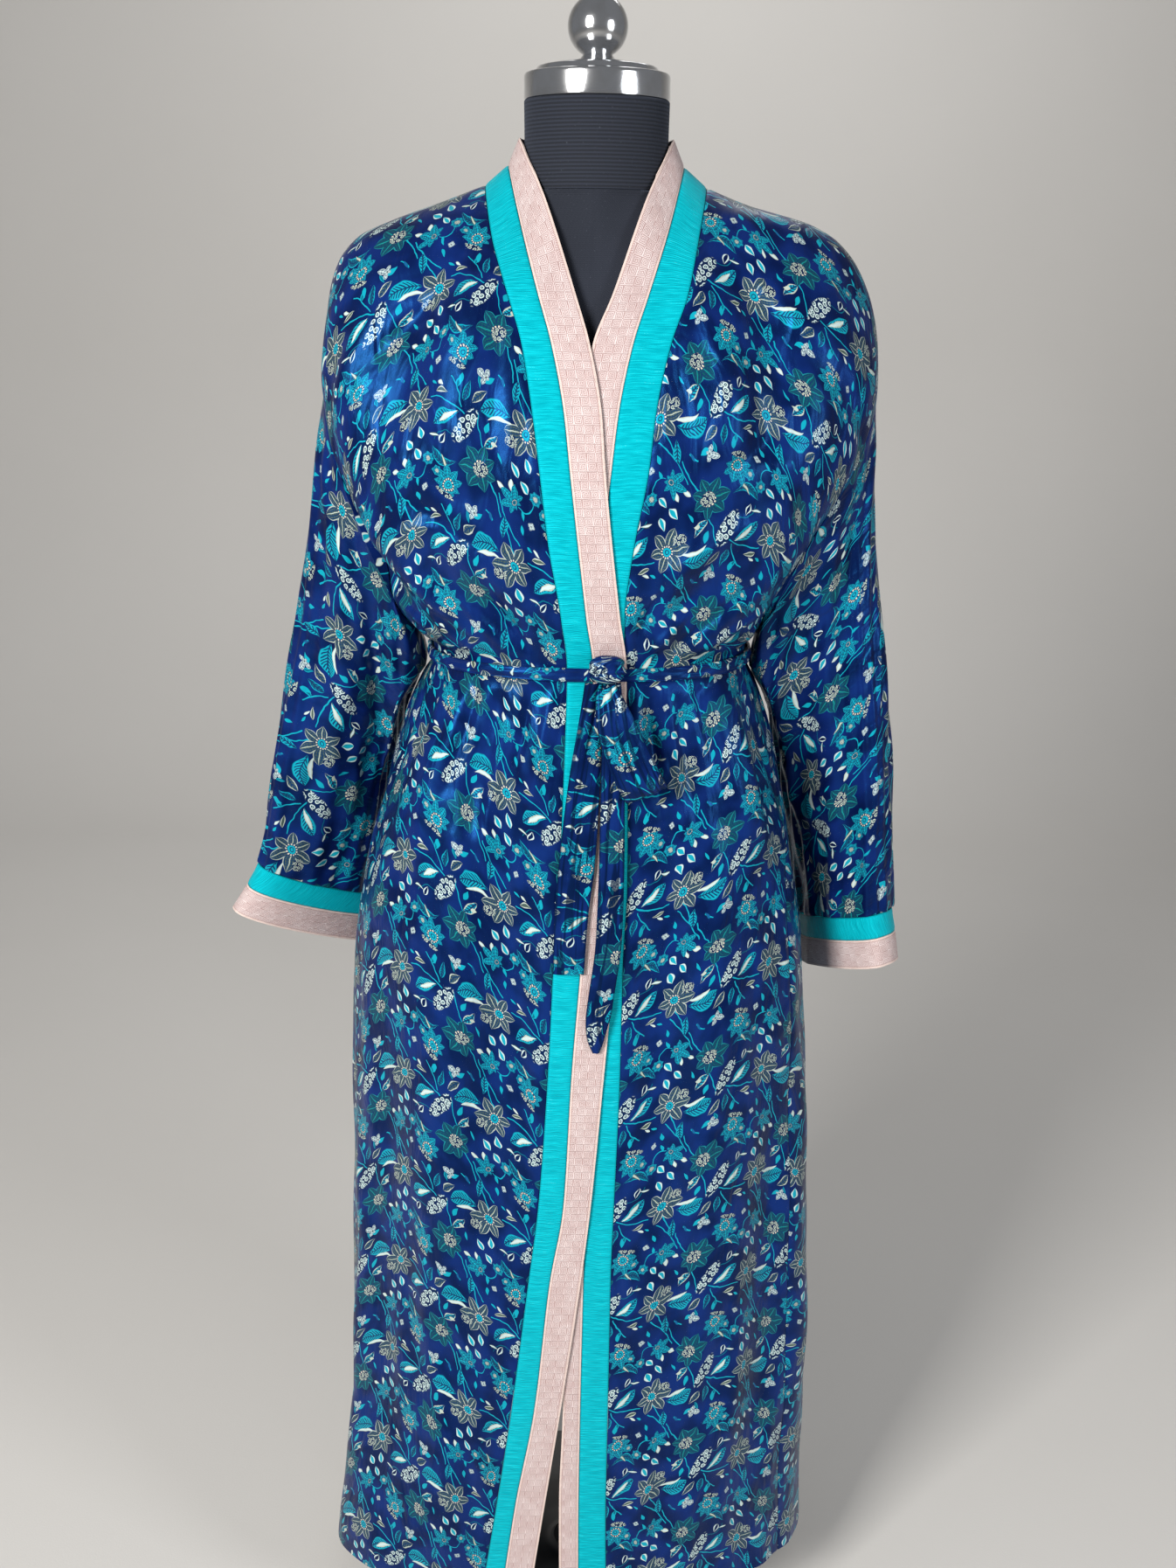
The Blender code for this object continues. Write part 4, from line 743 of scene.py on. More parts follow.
def border_lines(side):
    """Outer, seam and inner lines of a front border, each a list of points from the centre back
    of the neck down to the hem."""
    label = "right_" if side == RIGHT else "left_"
    lift = TOP_LAYER_LIFT if side == RIGHT else 0.0
    heights = np.array([row[0] for row in BORDER_ROWS])
    lines = []
    for k, name in enumerate(COLLAR_COLUMNS):
        collar = np.array([row[k] for row in COLLAR_ROWS]) * (side, 1, 1)
        across = np.array([row[BORDER_COLUMNS.index(label + name)] for row in BORDER_ROWS])
        lines.append(np.concatenate([collar, wall_point(across, heights, FRONT, lift)]))
    return lines


def border_grid(side, first, second, stations, share):
    """Points between two of the border's lines: straight across round the neck, on the front's
    own curve below the collar, and never nearer to the neck than the collar's reach."""
    lines = border_lines(side)
    index = np.arange(len(lines[0]))
    lift = TOP_LAYER_LIFT if side == RIGHT else 0.0
    edge = [smooth_line(stations, index, lines[k]) for k in (first, second)]
    share = np.asarray(share)[None, :, None]
    grid = edge[0][:, None] * (1 - share) + edge[1][:, None] * share
    on_wall = wall_point(grid[..., 0], grid[..., 2], FRONT, lift)
    blend = np.clip(stations - len(COLLAR_ROWS) + 0.6, 0, 1)[:, None, None]
    grid = grid * (1 - blend) + on_wall * blend
    reach = np.hypot(grid[..., 0], grid[..., 1])
    spread = np.where(grid[..., 2] > NECK_BOTTOM - 0.012, np.maximum(COLLAR_REACH / reach, 1), 1)
    grid[..., 0] *= spread
    grid[..., 1] *= spread
    return grid


def grid_way(grid, closed):
    """Unit normals of a grid, the cross product of its column and row directions."""
    down = np.gradient(grid, axis=0)
    over = np.roll(grid, -1, axis=1) - np.roll(grid, 1, axis=1) if closed else np.gradient(grid, axis=1)
    normal = np.cross(over, down)
    return normal / np.maximum(np.linalg.norm(normal, axis=-1, keepdims=True), 1e-12)


def out_way(grid, outward, closed=False):
    """Unit normals of a grid, on the side of it that the outward directions name."""
    way = grid_way(grid, closed)
    return -way if np.sum(way * outward) < 0 else way


def lengths(grid, axis):
    """Running length along a grid's rows or columns from its first point."""
    step = np.linalg.norm(np.diff(grid, axis=axis), axis=-1)
    pad = [(0, 0), (0, 0)]
    pad[axis] = (1, 0)
    return np.pad(np.cumsum(step, axis=axis), pad)


def cloth_piece(name, grid, outward, material, cut, wall=SATIN_WALL, closed=False, edge=None):
    """Closed shell: the outer face through the grid, the inner one a wall behind it, and rims."""
    rows, columns = grid.shape[:2]
    way = grid_way(grid, closed)
    flip = np.sum(way * outward) < 0
    way = -way if flip else way
    if closed:
        way[:, 0] = way[:, 0] + way[:, -1]
        way /= np.linalg.norm(way, axis=-1, keepdims=True)
    points = np.concatenate([grid.reshape(-1, 3), (grid - way * wall).reshape(-1, 3)])
    inner = rows * columns
    corners, spots = grid_faces(rows, columns, closed)
    c = np.arange(columns if closed else columns - 1)
    d = (c + 1) % columns
    wide = columns + 1 if closed else columns
    last, last_spot = (rows - 1) * columns, (rows - 1) * wide
    faces = [
        corners, (inner + corners)[:, ::-1],
        np.stack([c, inner + c, inner + d, d], -1),
        np.stack([last + d, inner + last + d, inner + last + c, last + c], -1),
    ]
    places = [
        spots, spots[:, ::-1],
        np.stack([c, c, c + 1, c + 1], -1),
        np.stack([c + 1, c + 1, c, c], -1) + last_spot,
    ]
    if not closed:
        a = np.arange(rows - 1) * columns
        b = a + columns
        faces += [np.stack([a, b, inner + b, inner + a], -1)]
        places += [np.stack([a, b, b, a], -1)]
        a, b = a + columns - 1, b + columns - 1
        faces += [np.stack([b, a, inner + a, inner + b], -1)]
        places += [np.stack([b, a, a, b], -1)]
    faces, places = np.concatenate(faces), np.concatenate(places)
    if flip:
        faces, places = faces[:, ::-1], places[:, ::-1]
    if edge is not None:
        edge = np.tile(np.broadcast_to(edge, grid.shape[:2]).ravel(), 2)
    return mesh_piece(name, points, faces, material, cut.reshape(-1, 2)[places], edge)


def sunk(grid, outward, closed=False, depth=SEAM_SINK, sides="tbse"):
    """The grid with its sewn sides (t top, b bottom, s start, e end) sunk by the seam's pull:
    depth times exp(-(distance / reach)^2), and drawn back by the seam's gap."""
    way = out_way(grid, outward, closed)
    over, down = lengths(grid, 1), lengths(grid, 0)
    far = {"s": over, "e": over[:, -1:] - over, "t": down, "b": down[-1:] - down}
    pull = sum(np.exp(-((far[k] / SEAM_REACH) ** 2)) for k in sides)
    grid = grid - way * (depth * np.minimum(pull, 1))[..., None]
    ends = {"t": (0, 1, 0), "b": (-1, -2, 0), "s": (0, 1, 1), "e": (-1, -2, 1)}
    for k in sides:
        at, beside, axis = ends[k]
        line, inside = (grid[at], grid[beside]) if axis == 0 else (grid[:, at], grid[:, beside])
        step = inside - line
        line += step / np.maximum(np.linalg.norm(step, axis=-1, keepdims=True), 1e-9) * SEAM_GAP
    return grid


# The print. A straight repeat, charted. Lengths are in millimetres, and places are measured
# from the pointed flower, x to the right and y down.
REPEAT = 105.0
LINE_INK = (0.006, 0.030, 0.090, 1)
HALF = (0.5, 0.5, 0.5)
PLACED = {"Ground": "c", "Place": "v", "Centre": "v", "Along": "v", "Off": "v"}


def group_of(name, **own):
    """Node group that lays one kind of motif on a ground: the group, its nodes, its inputs and its
    output. Besides the placed ones it has inputs of its own, c for a colour, f for a number."""
    tree = bpy.data.node_groups.new(name, "ShaderNodeTree")
    kinds = {"c": "NodeSocketColor", "v": "NodeSocketVector", "f": "NodeSocketFloat"}
    inputs = {label.replace("_", " "): kinds[kind] for label, kind in {**PLACED, **own}.items()}
    for label, kind in inputs.items():
        tree.interface.new_socket(name=label, in_out="INPUT", socket_type=kind)
    tree.interface.new_socket(name="Colour", in_out="OUTPUT", socket_type="NodeSocketColor")
    n = Nodes(tree)
    entry = n.node("NodeGroupInput", {})
    return tree, n, {label: Value(n, entry.outputs[label]) for label in inputs}, n.node("NodeGroupOutput", {})


def local_place(n, given):
    """Place in the nearest repeat of a motif: along its own axis and off it, in millimetres."""
    share = n.vector("FRACTION", n.vector("SUBTRACT", given["Place"], given["Centre"]))
    near = n.vector("SUBTRACT", share, HALF)
    return n.vector("DOT_PRODUCT", near, given["Along"]), n.vector("DOT_PRODUCT", near, given["Off"])


def leaf_share(n, x, y, given):
    """Distance from a leaf's middle line, |y - bend x^2|, and the same as a share of the leaf's half
    width there, width (1 - q^2) (1 - 0.4 q) with q = x / length."""
    side = abs(y - given["Bend"] * (x * x))
    q = x / given["Length"]
    full = n.most(1.0 - q * q, 0.0) * (1.0 - q * 0.4)
    return side, side / n.most(full * given["Width"], 0.0005)


# A toothed leaf: veins across it, a dark middle line and a rim of another colour
leaf_group, n, given, result = group_of("leaf", Length="f", Width="f", Bend="f", Body="c", Rim="c")
x, y = local_place(n, given)
side, s = leaf_share(n, x, y, given)
vein = n.near(n.math("FRACT", (x + side * 0.9) / 2.9), 0.5, 0.30, 0.16)
middle = n.band(side, 0.80, 0.40)
tone = n.mix(n.band(s, 0.66, 0.80), given["Body"], given["Rim"])
tone = n.mix(n.most(vein, middle) * n.band(s, 0.84, 0.70), tone, LINE_INK)
n.set(result, 0, n.mix(n.band(s, 1.10, 0.90), given["Ground"], tone))

# A drop: a small plain leaf in two colours
drop_group, n, given, result = group_of("drop", Length="f", Width="f", Bend="f", Body="c", Rim="c")
_, s = leaf_share(n, *local_place(n, given), given)
tone = n.mix(n.band(s, 0.46, 0.62), given["Body"], given["Rim"])
n.set(result, 0, n.mix(n.band(s, 1.12, 0.88), given["Ground"], tone))

# A flower: pointed petals round a heart. The lop makes those ahead longer than those behind
flower_group, n, given, result = group_of(
    "flower", Petals="f", Reach="f", Width="f", Lop="f", Petal="c", Rim="c", Heart="c", Heart_Size="f")
x, y = local_place(n, given)
far = n.most(n.math("SQRT", x * x + y * y), 0.01)
turns = n.math("ARCTAN2", y, x) * (1 / (2 * math.pi))
petal = n.math("FRACT", turns * given["Petals"] + 0.5) - 0.5
swing = petal * (2 * math.pi) / given["Petals"]
ahead, aside = far * n.math("COSINE", swing), far * n.math("SINE", abs(swing))
lopped = 1.0 + given["Lop"] * (x / far)
q = ahead / (given["Reach"] * lopped * 0.5) - 1.0
plump = n.most(1.0 - q * q, 0.0) * (1.0 + q * 0.15)
s = aside / n.most(plump * given["Width"] * lopped, 0.0005)
scallop = n.band(n.math("SINE", ahead * 2.4 + s * 3.0), 0.1, 0.8) * 0.7
line = n.near(abs(s - 0.53), 0.19, 0.11, 0.05)
tone = n.mix(n.most(scallop, line), given["Petal"], LINE_INK)
tone = n.mix(n.most(n.band(s, 0.10, 0.03), n.band(s, 0.82, 0.92)), tone, given["Rim"])
bloom = n.mix(n.band(s, 1.08, 0.92), given["Ground"], tone)
share = far / given["Heart Size"]
disc = n.band(share, 1.05, 0.92) * n.near(share, 0.45, 0.06, 0.14)
seed = n.band(n.math("SINE", turns * (26 * math.pi)), -0.3, 0.3)
ring = n.near(share, 1.28, 0.24, 0.12) * seed
heart = n.mix(ring, n.mix(disc, LINE_INK, given["Heart"]), (0.60, 0.56, 0.42, 1))
n.set(result, 0, n.mix(n.band(share, 1.62, 1.50), bloom, heart))

# A cluster: round grains with a dark line in each, inside an oval
cluster_group, n, given, result = group_of("cluster", Length="f", Width="f", Body="c", Grain="f")
x, y = local_place(n, given)
q, w = x / given["Length"], y / given["Width"]
s = n.math("SQRT", q * q + w * w)
cells = n.put(
    "ShaderNodeTexVoronoi",
    {"Vector": n.put("ShaderNodeCombineXYZ", {0: x, 1: y}), "Scale": given["Grain"], "Randomness": 0.55},
    "Distance", voronoi_dimensions="2D")
tone = n.mix(n.near(cells, 0.16, 0.10, 0.05), given["Body"], (0.010, 0.045, 0.070, 1))
inside = n.band(s, 1.05, 0.90)
shade = n.mix(inside, given["Ground"], (0.004, 0.012, 0.050, 1))
n.set(result, 0, n.mix(n.band(cells, 0.46, 0.38) * inside, shade, tone))

# A stem: an arched line, y = arch (q^2 - 1/2)
stem_group, n, given, result = group_of("stem", Length="f", Arch="f", Width="f", Body="c")
x, y = local_place(n, given)
q = x / given["Length"]
off = abs(y - (q * q - 0.5) * given["Arch"])
line = n.band(off, given["Width"] * 1.25, given["Width"] * 0.75)
n.set(result, 0, n.mix(line * n.band(abs(q), 1.0, 0.97), given["Ground"], given["Body"]))

INK = {
    "navy": (0.0045, 0.0175, 0.1200, 1), "deep": (0.0018, 0.0060, 0.0450, 1),
    "turquoise": (0.005, 0.310, 0.400, 1), "teal": (0.003, 0.115, 0.170, 1),
    "green": (0.006, 0.075, 0.075, 1), "olive": (0.060, 0.090, 0.070, 1),
    "sea": (0.010, 0.230, 0.245, 1), "cream": (0.430, 0.490, 0.410, 1),
    "white": (0.510, 0.630, 0.610, 1), "blue": (0.010, 0.080, 0.260, 1),
}
# The motifs. Each row gives the middle's x and y, the angle of the motif's own axis in degrees, and
# then what its group takes, in the order of the group's own inputs
STEM_ROWS = (
    (-26, 54.5, 57, 18.5, 3, 0.50, "turquoise"),
    (-7.1, 83, 65, 13.5, -1, 0.50, "turquoise"),
    (33, -3.0, 18, 21, 4, 0.55, "turquoise"),
    (37.3, -14.5, 56, 13.4, 2, 0.50, "turquoise"),
    (-42.1, 12.5, 72, 15, -2, 0.45, "turquoise"),
    (-9.5, -34.6, 54.5, 21.5, -2.5, 0.50, "turquoise"),
    (-27.8, -33.1, 38, 5.5, 1, 0.55, "turquoise"),
    (7.5, 56, -29, 7.5, -5, 0.45, "turquoise"),
    (27.4, 22, -22, 10.5, 5, 0.45, "teal"),
)
LEAF_ROWS = (
    (28.7, 5.9, -31, 14, 5.6, 0.012, "turquoise", "turquoise"),
    (-29.4, -10.5, -8, 14.5, 7.6, 0.020, "turquoise", "turquoise"),
    (-58, -16.3, -80, 8.6, 3.2, 0.010, "teal", "turquoise"),
    (-45.7, -15.6, -45, 8.4, 3.6, 0.014, "olive", "cream"),
    (-31, 16.6, -48, 8.8, 3.6, -0.016, "turquoise", "cream"),
    (-12.6, -27.8, 92, 9.6, 3.4, 0.006, "turquoise", "turquoise"),
    (27.5, 44, 14, 13.5, 4.0, -0.045, "teal", "turquoise"),
)
DROP_ROWS = (
    (31.6, 5.4, -36, 10.5, 2.2, 0.012, "white", "cream"),
    (-24.1, -3.7, -5, 12.5, 1.9, 0.020, "white", "cream"),
    (-67.3, -22, -70, 4.8, 1.9, 0.0, "teal", "turquoise"),
    (-36.5, 7.2, -68, 5.4, 2.3, 0.0, "turquoise", "turquoise"),
    (23, -13.4, -8, 6.2, 2.0, 0.020, "olive", "cream"),
    (32.3, 46.5, 48, 10.5, 1.4, -0.010, "cream", "olive"),
    (19, 23.8, 10, 5.2, 1.5, 0.020, "white", "olive"),
    (26.8, 25.3, -65, 5.2, 2.6, 0.0, "deep", "white"),
    (-6.8, 29.5, -130, 5.8, 3.2, 0.0, "turquoise", "white"),
    (4.2, 22.5, -110, 5.8, 3.4, 0.0, "turquoise", "white"),
    (3.2, 39.5, -130, 5.4, 3.2, 0.0, "turquoise", "white"),
    (4.5, -43, 70, 4.2, 1.4, 0.0, "turquoise", "turquoise"),
    (5.5, -31, 75, 4.2, 1.7, 0.0, "turquoise", "turquoise"),
    (20.5, -18, 30, 3.6, 1.3, 0.0, "white", "cream"),
    (13.8, -18.7, 30, 3.2, 1.1, 0.0, "turquoise", "turquoise"),
    (-26.3, -32, 60, 4.4, 1.2, 0.0, "blue", "teal"),
    (-28.6, 17.6, 10, 3.0, 1.7, 0.0, "cream", "cream"),
    (-22.5, 26, 62, 4.6, 1.1, 0.0, "turquoise", "turquoise"),
    (-48.1, 80, 70, 4.6, 1.3, 0.0, "teal", "turquoise"),
    (-38.7, -29.1, -36, 4.8, 2.2, 0.0, "turquoise", "turquoise"),
    (39, -23.6, 90, 4.8, 2.2, 0.0, "turquoise", "turquoise"),
    (-19, 45.6, 29, 4.6, 2.0, 0.0, "white", "cream"),
    (-9.5, 43, 73, 4.6, 1.9, 0.0, "white", "cream"),
)
FLOWER_ROWS = (
    (-39.5, 39, 175, 7, 18.0, 5.2, 0.16, "green", "sea", "green", 4.4),
    (0, 0, 172, 6, 19.0, 4.9, 0.14, "olive", "cream", "turquoise", 3.8),
    (36, -43.5, -100, 9, 13.6, 2.9, 0.26, "turquoise", "turquoise", "turquoise", 3.8),
    (-4.5, -50, -150, 7, 11.0, 2.3, 0.50, "turquoise", "turquoise", "teal", 1.5),
    (14, 44.5, 0, 7, 6.0, 2.0, 0.0, "turquoise", "turquoise", "cream", 1.4),
    (24, 53.5, 0, 6, 5.0, 1.9, 0.0, "turquoise", "turquoise", "cream", 1.2),
    (-43, -30, -160, 4, 6.6, 2.0, 0.50, "white", "white", "olive", 0.6),
    (13, -38.0, 20, 4, 3.4, 1.5, 0.0, "white", "white", "olive", 0.4),
)
CLUSTER_ROWS = (
    (-57, 10.5, -55, 17.5, 6.8, "white", 0.195),
    (-38.5, 39.5, 150, 7.0, 5.6, "cream", 0.28),
    (-13, 9.5, 0, 6.0, 5.0, "cream", 0.32),
    (33, -35.0, 20, 9.0, 2.6, "cream", 0.24),
)


# The undermost first
MOTIFS = (
    (stem_group, STEM_ROWS), (leaf_group, LEAF_ROWS), (drop_group, DROP_ROWS),
    (flower_group, FLOWER_ROWS), (cluster_group, CLUSTER_ROWS),
)


def axes(x, y, degrees):
    """The motif's centre on the repeat's axes, less a half, and the two vectors that turn a
    difference there into millimetres along and off the motif's own axis."""
    c, s = math.cos(math.radians(degrees)), math.sin(math.radians(degrees))
    return (x / REPEAT - 0.5, y / REPEAT - 0.5, 0), (REPEAT * c, REPEAT * s, 0), (-REPEAT * s, REPEAT * c, 0)


def printed(n, cut):
    """Colour of the printed cloth at a place on its cut, given in metres."""
    wander = n.vector("SUBTRACT", n.flat_noise(cut, 95.0, 1), HALF)
    cut = n.vector("ADD", cut, n.vector("MULTIPLY", wander, (0.0032, 0.0032, 0)))
    place = n.vector("MULTIPLY", cut, (1000 / REPEAT, 1000 / REPEAT, 0))
    colour = n.mix(n.band(n.noise(cut, 26.0), 0.35, 0.65), INK["deep"], INK["navy"])
    for group, rows in MOTIFS:
        for x, y, degrees, *own in rows:
            taken = [colour, place, *axes(x, y, degrees), *(INK.get(value, value) for value in own)]
            colour = n.put("ShaderNodeGroup", dict(enumerate(taken)), node_tree=group)
    return colour


satin, n, shader = finish_of(
    "printed_satin", Roughness=0.34, IOR=1.30, Specular_IOR_Level=1.0, Specular_Tint=(0.04, 0.34, 1.0, 1))
cut = n.cut_place()
n.set(shader, "Base Color", printed(n, cut))
threads = n.drawn_noise(cut, 2600, 420)
rumple = n.drawn_noise(cut, 46, 17, 2.0, 0.6)
n.set(shader, "Roughness", n.between(threads, 0.27, 0.40))
n.set(shader, "Normal", n.bump(threads, 0.00010, 0.6, n.bump(rumple, 0.0040, 0.55)))


def back_half(side, share, lower, across):
    """Half of the back: rows from neck and shoulder to the hem, columns from the centre back to
    the side seam. The top row runs along the neck up to NECK_SHARE, then the shoulder fold. Each
    row comes down as share^INNER_FALL at the centre and with the armhole at the side, and its
    places across pass from the top's to the waist's."""
    neck = across <= NECK_SHARE
    neck_line = border_grid(side, 0, 1, 2 * across[neck] / NECK_SHARE, (0, 1))[:, 0]
    ridge_x, ridge_z = shoulder_line(side, (across[~neck] - NECK_SHARE) / (1 - NECK_SHARE))
    top = np.concatenate([neck_line, np.stack([side * ridge_x, 0 * ridge_x, ridge_z], -1)])
    top_place = np.abs(top[:, 0]) / abs(top[-1, 0])
    turn = math.pi / 2 * across
    waist_place = oval_across(side, UNDERARM_HEIGHT, turn, BACK) / half_width(side, UNDERARM_HEIGHT)
    share = share[:, None]
    outer_drop = armhole_drop(share)
    drop = share**INNER_FALL * (1 - across) + outer_drop * across
    height = top[:, 2] + (UNDERARM_HEIGHT - top[:, 2]) * drop
    place = top_place * (1 - share) + waist_place * share
    crease = crease_share(across, height) * ramp(share, 0.0, 0.10)
    upper = wall_point(side * armhole_across(side, outer_drop) * place, height, BACK, 0, crease)
    settle = top - wall_point(top[:, 0], top[:, 2], BACK)
    upper = upper + settle * neck[:, None] * (1 - share[..., None]) ** 4
    lower = lower[:, None]
    turn = math.pi - (math.pi - seam_turn(side, lower)) * across
    return np.concatenate([upper, turn_point(side, lower + 0 * across, turn, crease_share(across, lower))])


UPPER_SHARES = np.concatenate([[0, 0.004], np.linspace(0.012, 0.10, 12), np.linspace(0.11, 1.0, 108)])
LOWER_HEIGHTS = np.concatenate([
    np.linspace(1.0640, 0.940, 52), np.linspace(0.936, 0.104, 128), [0.1008, HEM_HEIGHT]])
WAIST_ROW = len(UPPER_SHARES) + 6
BACK_SHARE = np.sort(np.concatenate([np.linspace(0, 1, 62), [0.996]]))
BACK_WAY = np.array((0, 1, 0))


def run_places(grid):
    """Running length along each row, and down each column from the waist."""
    down = lengths(grid, 0)
    return lengths(grid, 1), down - down[WAIST_ROW]


halves = [back_half(side, UPPER_SHARES, LOWER_HEIGHTS, BACK_SHARE) for side in (RIGHT, LEFT)]
back_grid = np.concatenate([halves[0][:, ::-1], halves[1][:, 1:]], axis=1)
across, down = run_places(back_grid)
back_cut = np.stack([across - across[:, len(BACK_SHARE) - 1, None], down], -1)
back_grid = sunk(back_grid, BACK_WAY, sides="tse")
back_panel = cloth_piece("back_panel_satin", back_grid, BACK_WAY, satin, back_cut)
take_place(back_panel, "back_panel")

# Front panels. Two lengths of the same satin, one each side, from the shoulder seam to the hem.
# Their inner edges are sewn to the turquoise borders, their outer ones to the back.
FRONT_SHARE = np.sort(np.concatenate([np.linspace(0, 1, 84), [0.004, 0.996]]))


def outer_line(side, heights):
    """Points of the border's outer line, in front of the shoulder line, at the given heights,
    and the places along the border where they are."""
    stations = np.linspace(2, len(COLLAR_ROWS) + len(BORDER_ROWS) - 1, 2000)
    line = border_grid(side, 0, 1, stations, (0, 1))[:, 0]
    points = [np.interp(-heights, -line[:, 2], line[:, axis]) for axis in range(2)]
    return np.stack(points + [heights], -1), np.interp(-heights, -line[:, 2], stations)


def front_half(side, share, lower, across):
    """Front panel: rows from the shoulder fold to the hem, columns from the border to the side
    seam. The first column is the border's outer line itself, and its pull fades as (1 - across)^2."""
    inner_heights = NECK_SIDE_HEIGHT + (UNDERARM_HEIGHT - NECK_SIDE_HEIGHT) * share**INNER_FALL
    heights = np.concatenate([inner_heights, lower])
    inner, _ = outer_line(side, heights)
    level = wall_point(inner[:, 0], inner[:, 2], FRONT)
    ridge_x, ridge_z = shoulder_line(side, across)
    count = len(share)
    top_place = (ridge_x - ridge_x[0]) / (ridge_x[-1] - ridge_x[0])
    start = math.atan2(abs(level[count - 1, 0]), -level[count - 1, 1])
    waist_x = oval_across(side, UNDERARM_HEIGHT, start + (math.pi / 2 - start) * across, FRONT)
    waist_place = (waist_x - waist_x[0]) / (waist_x[-1] - waist_x[0])
    share = share[:, None]
    outer_drop = armhole_drop(share)
    drop = share**INNER_FALL * (1 - across) + outer_drop * across
    height = ridge_z + (UNDERARM_HEIGHT - ridge_z) * drop
    place = top_place * (1 - share) + waist_place * share
    first_x = inner[:count, :1]
    edge_x = side * armhole_across(side, outer_drop)
    near_border = ramp(across, 0.0, 0.10)
    crease = crease_share(across, height) * near_border * ramp(share, 0.0, 0.10)
    upper = wall_point(first_x + (edge_x - first_x) * place, height, FRONT, 0, crease)
    first = np.arctan2(np.abs(inner[count:, 0]), -level[count:, 1]) * np.sign(inner[count:, 0]) * side
    lower = lower[:, None]
    turn = first[:, None] + (seam_turn(side, lower) - first[:, None]) * across
    crease = crease_share(across, lower) * near_border
    grid = np.concatenate([upper, turn_point(side, lower + 0 * across, turn, crease)])
    return grid + (inner - grid[:, 0])[:, None] * ((1 - across) ** 2)[None, :, None]


# How the print lies on a front: the columns slide outward above the waist, where the front edge
# is cut on a slant, and each row droops toward the front edge
SLIDE_PLACES = (-0.450, -0.345, -0.240, -0.107, 0.0, 0.106, 0.420, 0.600, 0.980)
SLIDES = (0.116, 0.090, 0.049, 0.018, 0.000, -0.004, 0.000, 0.005, 0.005)
DROOP_PLACES = (-0.010, 0.0, 0.050, 0.100, 0.125, 0.146, 0.175, 0.240, 0.420)
RIGHT_DROOPS = (-0.005, 0.0, 0.026, 0.050, 0.058, 0.057, 0.046, 0.015, -0.030)
LEFT_DROOPS = (-0.003, 0.0, 0.0170, 0.0300, 0.0330, 0.0320, 0.0210, -0.005, -0.040)
DROOPED_WEFT = 0.914
PRINT_FROM_EDGE = 0.048
FRONT_WAY = np.array((0, -1, 0))


def front_print(grid, droops, turned, from_down):
    """Places on the print: across from the front edge, slid by the height, down from the waist,
    raised by the droop; on the wearer's left front the print is turned right round."""
    across, down = run_places(grid)
    across = across + np.interp(down, SLIDE_PLACES, SLIDES)
    droop = np.interp(across, DROOP_PLACES, droops)
    return np.stack([(PRINT_FROM_EDGE - across) / DROOPED_WEFT, turned * (down + droop) + from_down], -1)


fronts = {}
for side, label, droops, turned, from_down, flat, area in (
    (RIGHT, "right", RIGHT_DROOPS, 1, -0.3446, (0.280, 1.416), 0.334),
    (LEFT, "left", LEFT_DROOPS, -1, 0.3216, (0.259, 1.410), 0.264),
):
    grid = front_half(side, UPPER_SHARES, LOWER_HEIGHTS, FRONT_SHARE)
    front_cut = front_print(grid, droops, turned, from_down)
    grid = sunk(grid, FRONT_WAY, sides="tse")
    fronts[side] = cloth_piece("front_%s_satin" % label, grid, FRONT_WAY, satin, front_cut)
    take_place(fronts[side], "front_panel_" + label)

# Front borders. Each front edge has two strips sewn side by side, from the hem up round the neck
# to the centre back: a ribbed turquoise silk next to the satin, and a pale pink brocade inside it.
# The wearer's right one lies over the left from the chest down.
BAND_WALL = 0.0012
BAND_SINK = 0.0006
END_SHARE = 0.02
FRET_CELL = 0.0074
NECK_PLACES = np.linspace(0, 2, 36)[:-1]
BAND_HEIGHTS = np.concatenate([
    np.linspace(NECK_SIDE_HEIGHT, 1.30, 60), np.linspace(1.2975, 0.104, 360), [0.1008, HEM_HEIGHT]])

turquoise, n, shader = finish_of(
    "turquoise_silk", Roughness=0.46, Sheen_Weight=0.15, Sheen_Roughness=0.35,
    Specular_Tint=(0.02, 0.80, 1.0, 1), Sheen_Tint=(0.02, 0.85, 1.0, 1))
cut, edge = n.cut_place(), n.edge_value()
drift = n.drawn_noise(cut, 60, 14)
bent = n.vector("ADD", cut, n.put("ShaderNodeCombineXYZ", {1: drift * 0.0030}))
ribs = n.wave(bent, 200.0, 0.0, "Y")
slub = n.drawn_noise(bent, 55, 900, 2.0)
fibre = n.drawn_noise(cut, 900, 2400)
tone = n.mix(n.band(slub, 0.30, 0.72), (0.0006, 0.350, 0.425, 1), (0.0035, 0.530, 0.610, 1))
# Painted shade: darker in the troughs between the ribs, following the same wave as the bump.
tone = n.mix(n.band(ribs, 0.35, 0.0) * 0.45, tone, (0.0005, 0.210, 0.270, 1))
tone = n.mix(n.band(slub, 0.68, 0.82) * n.band(fibre, 0.5, 0.7), tone, (0.10, 0.74, 0.80, 1))
# Painted shade: darker towards the sewn edges, over the width where the seams pull the strip in.
tone = n.mix(n.band(edge, 0.0016, 0.0008) * 0.6, tone, (0.0005, 0.190, 0.240, 1))
n.set(shader, "Base Color", tone)
n.set(shader, "Normal", n.bump(ribs * 0.7 + slub * 0.9, 0.00045, 0.8))

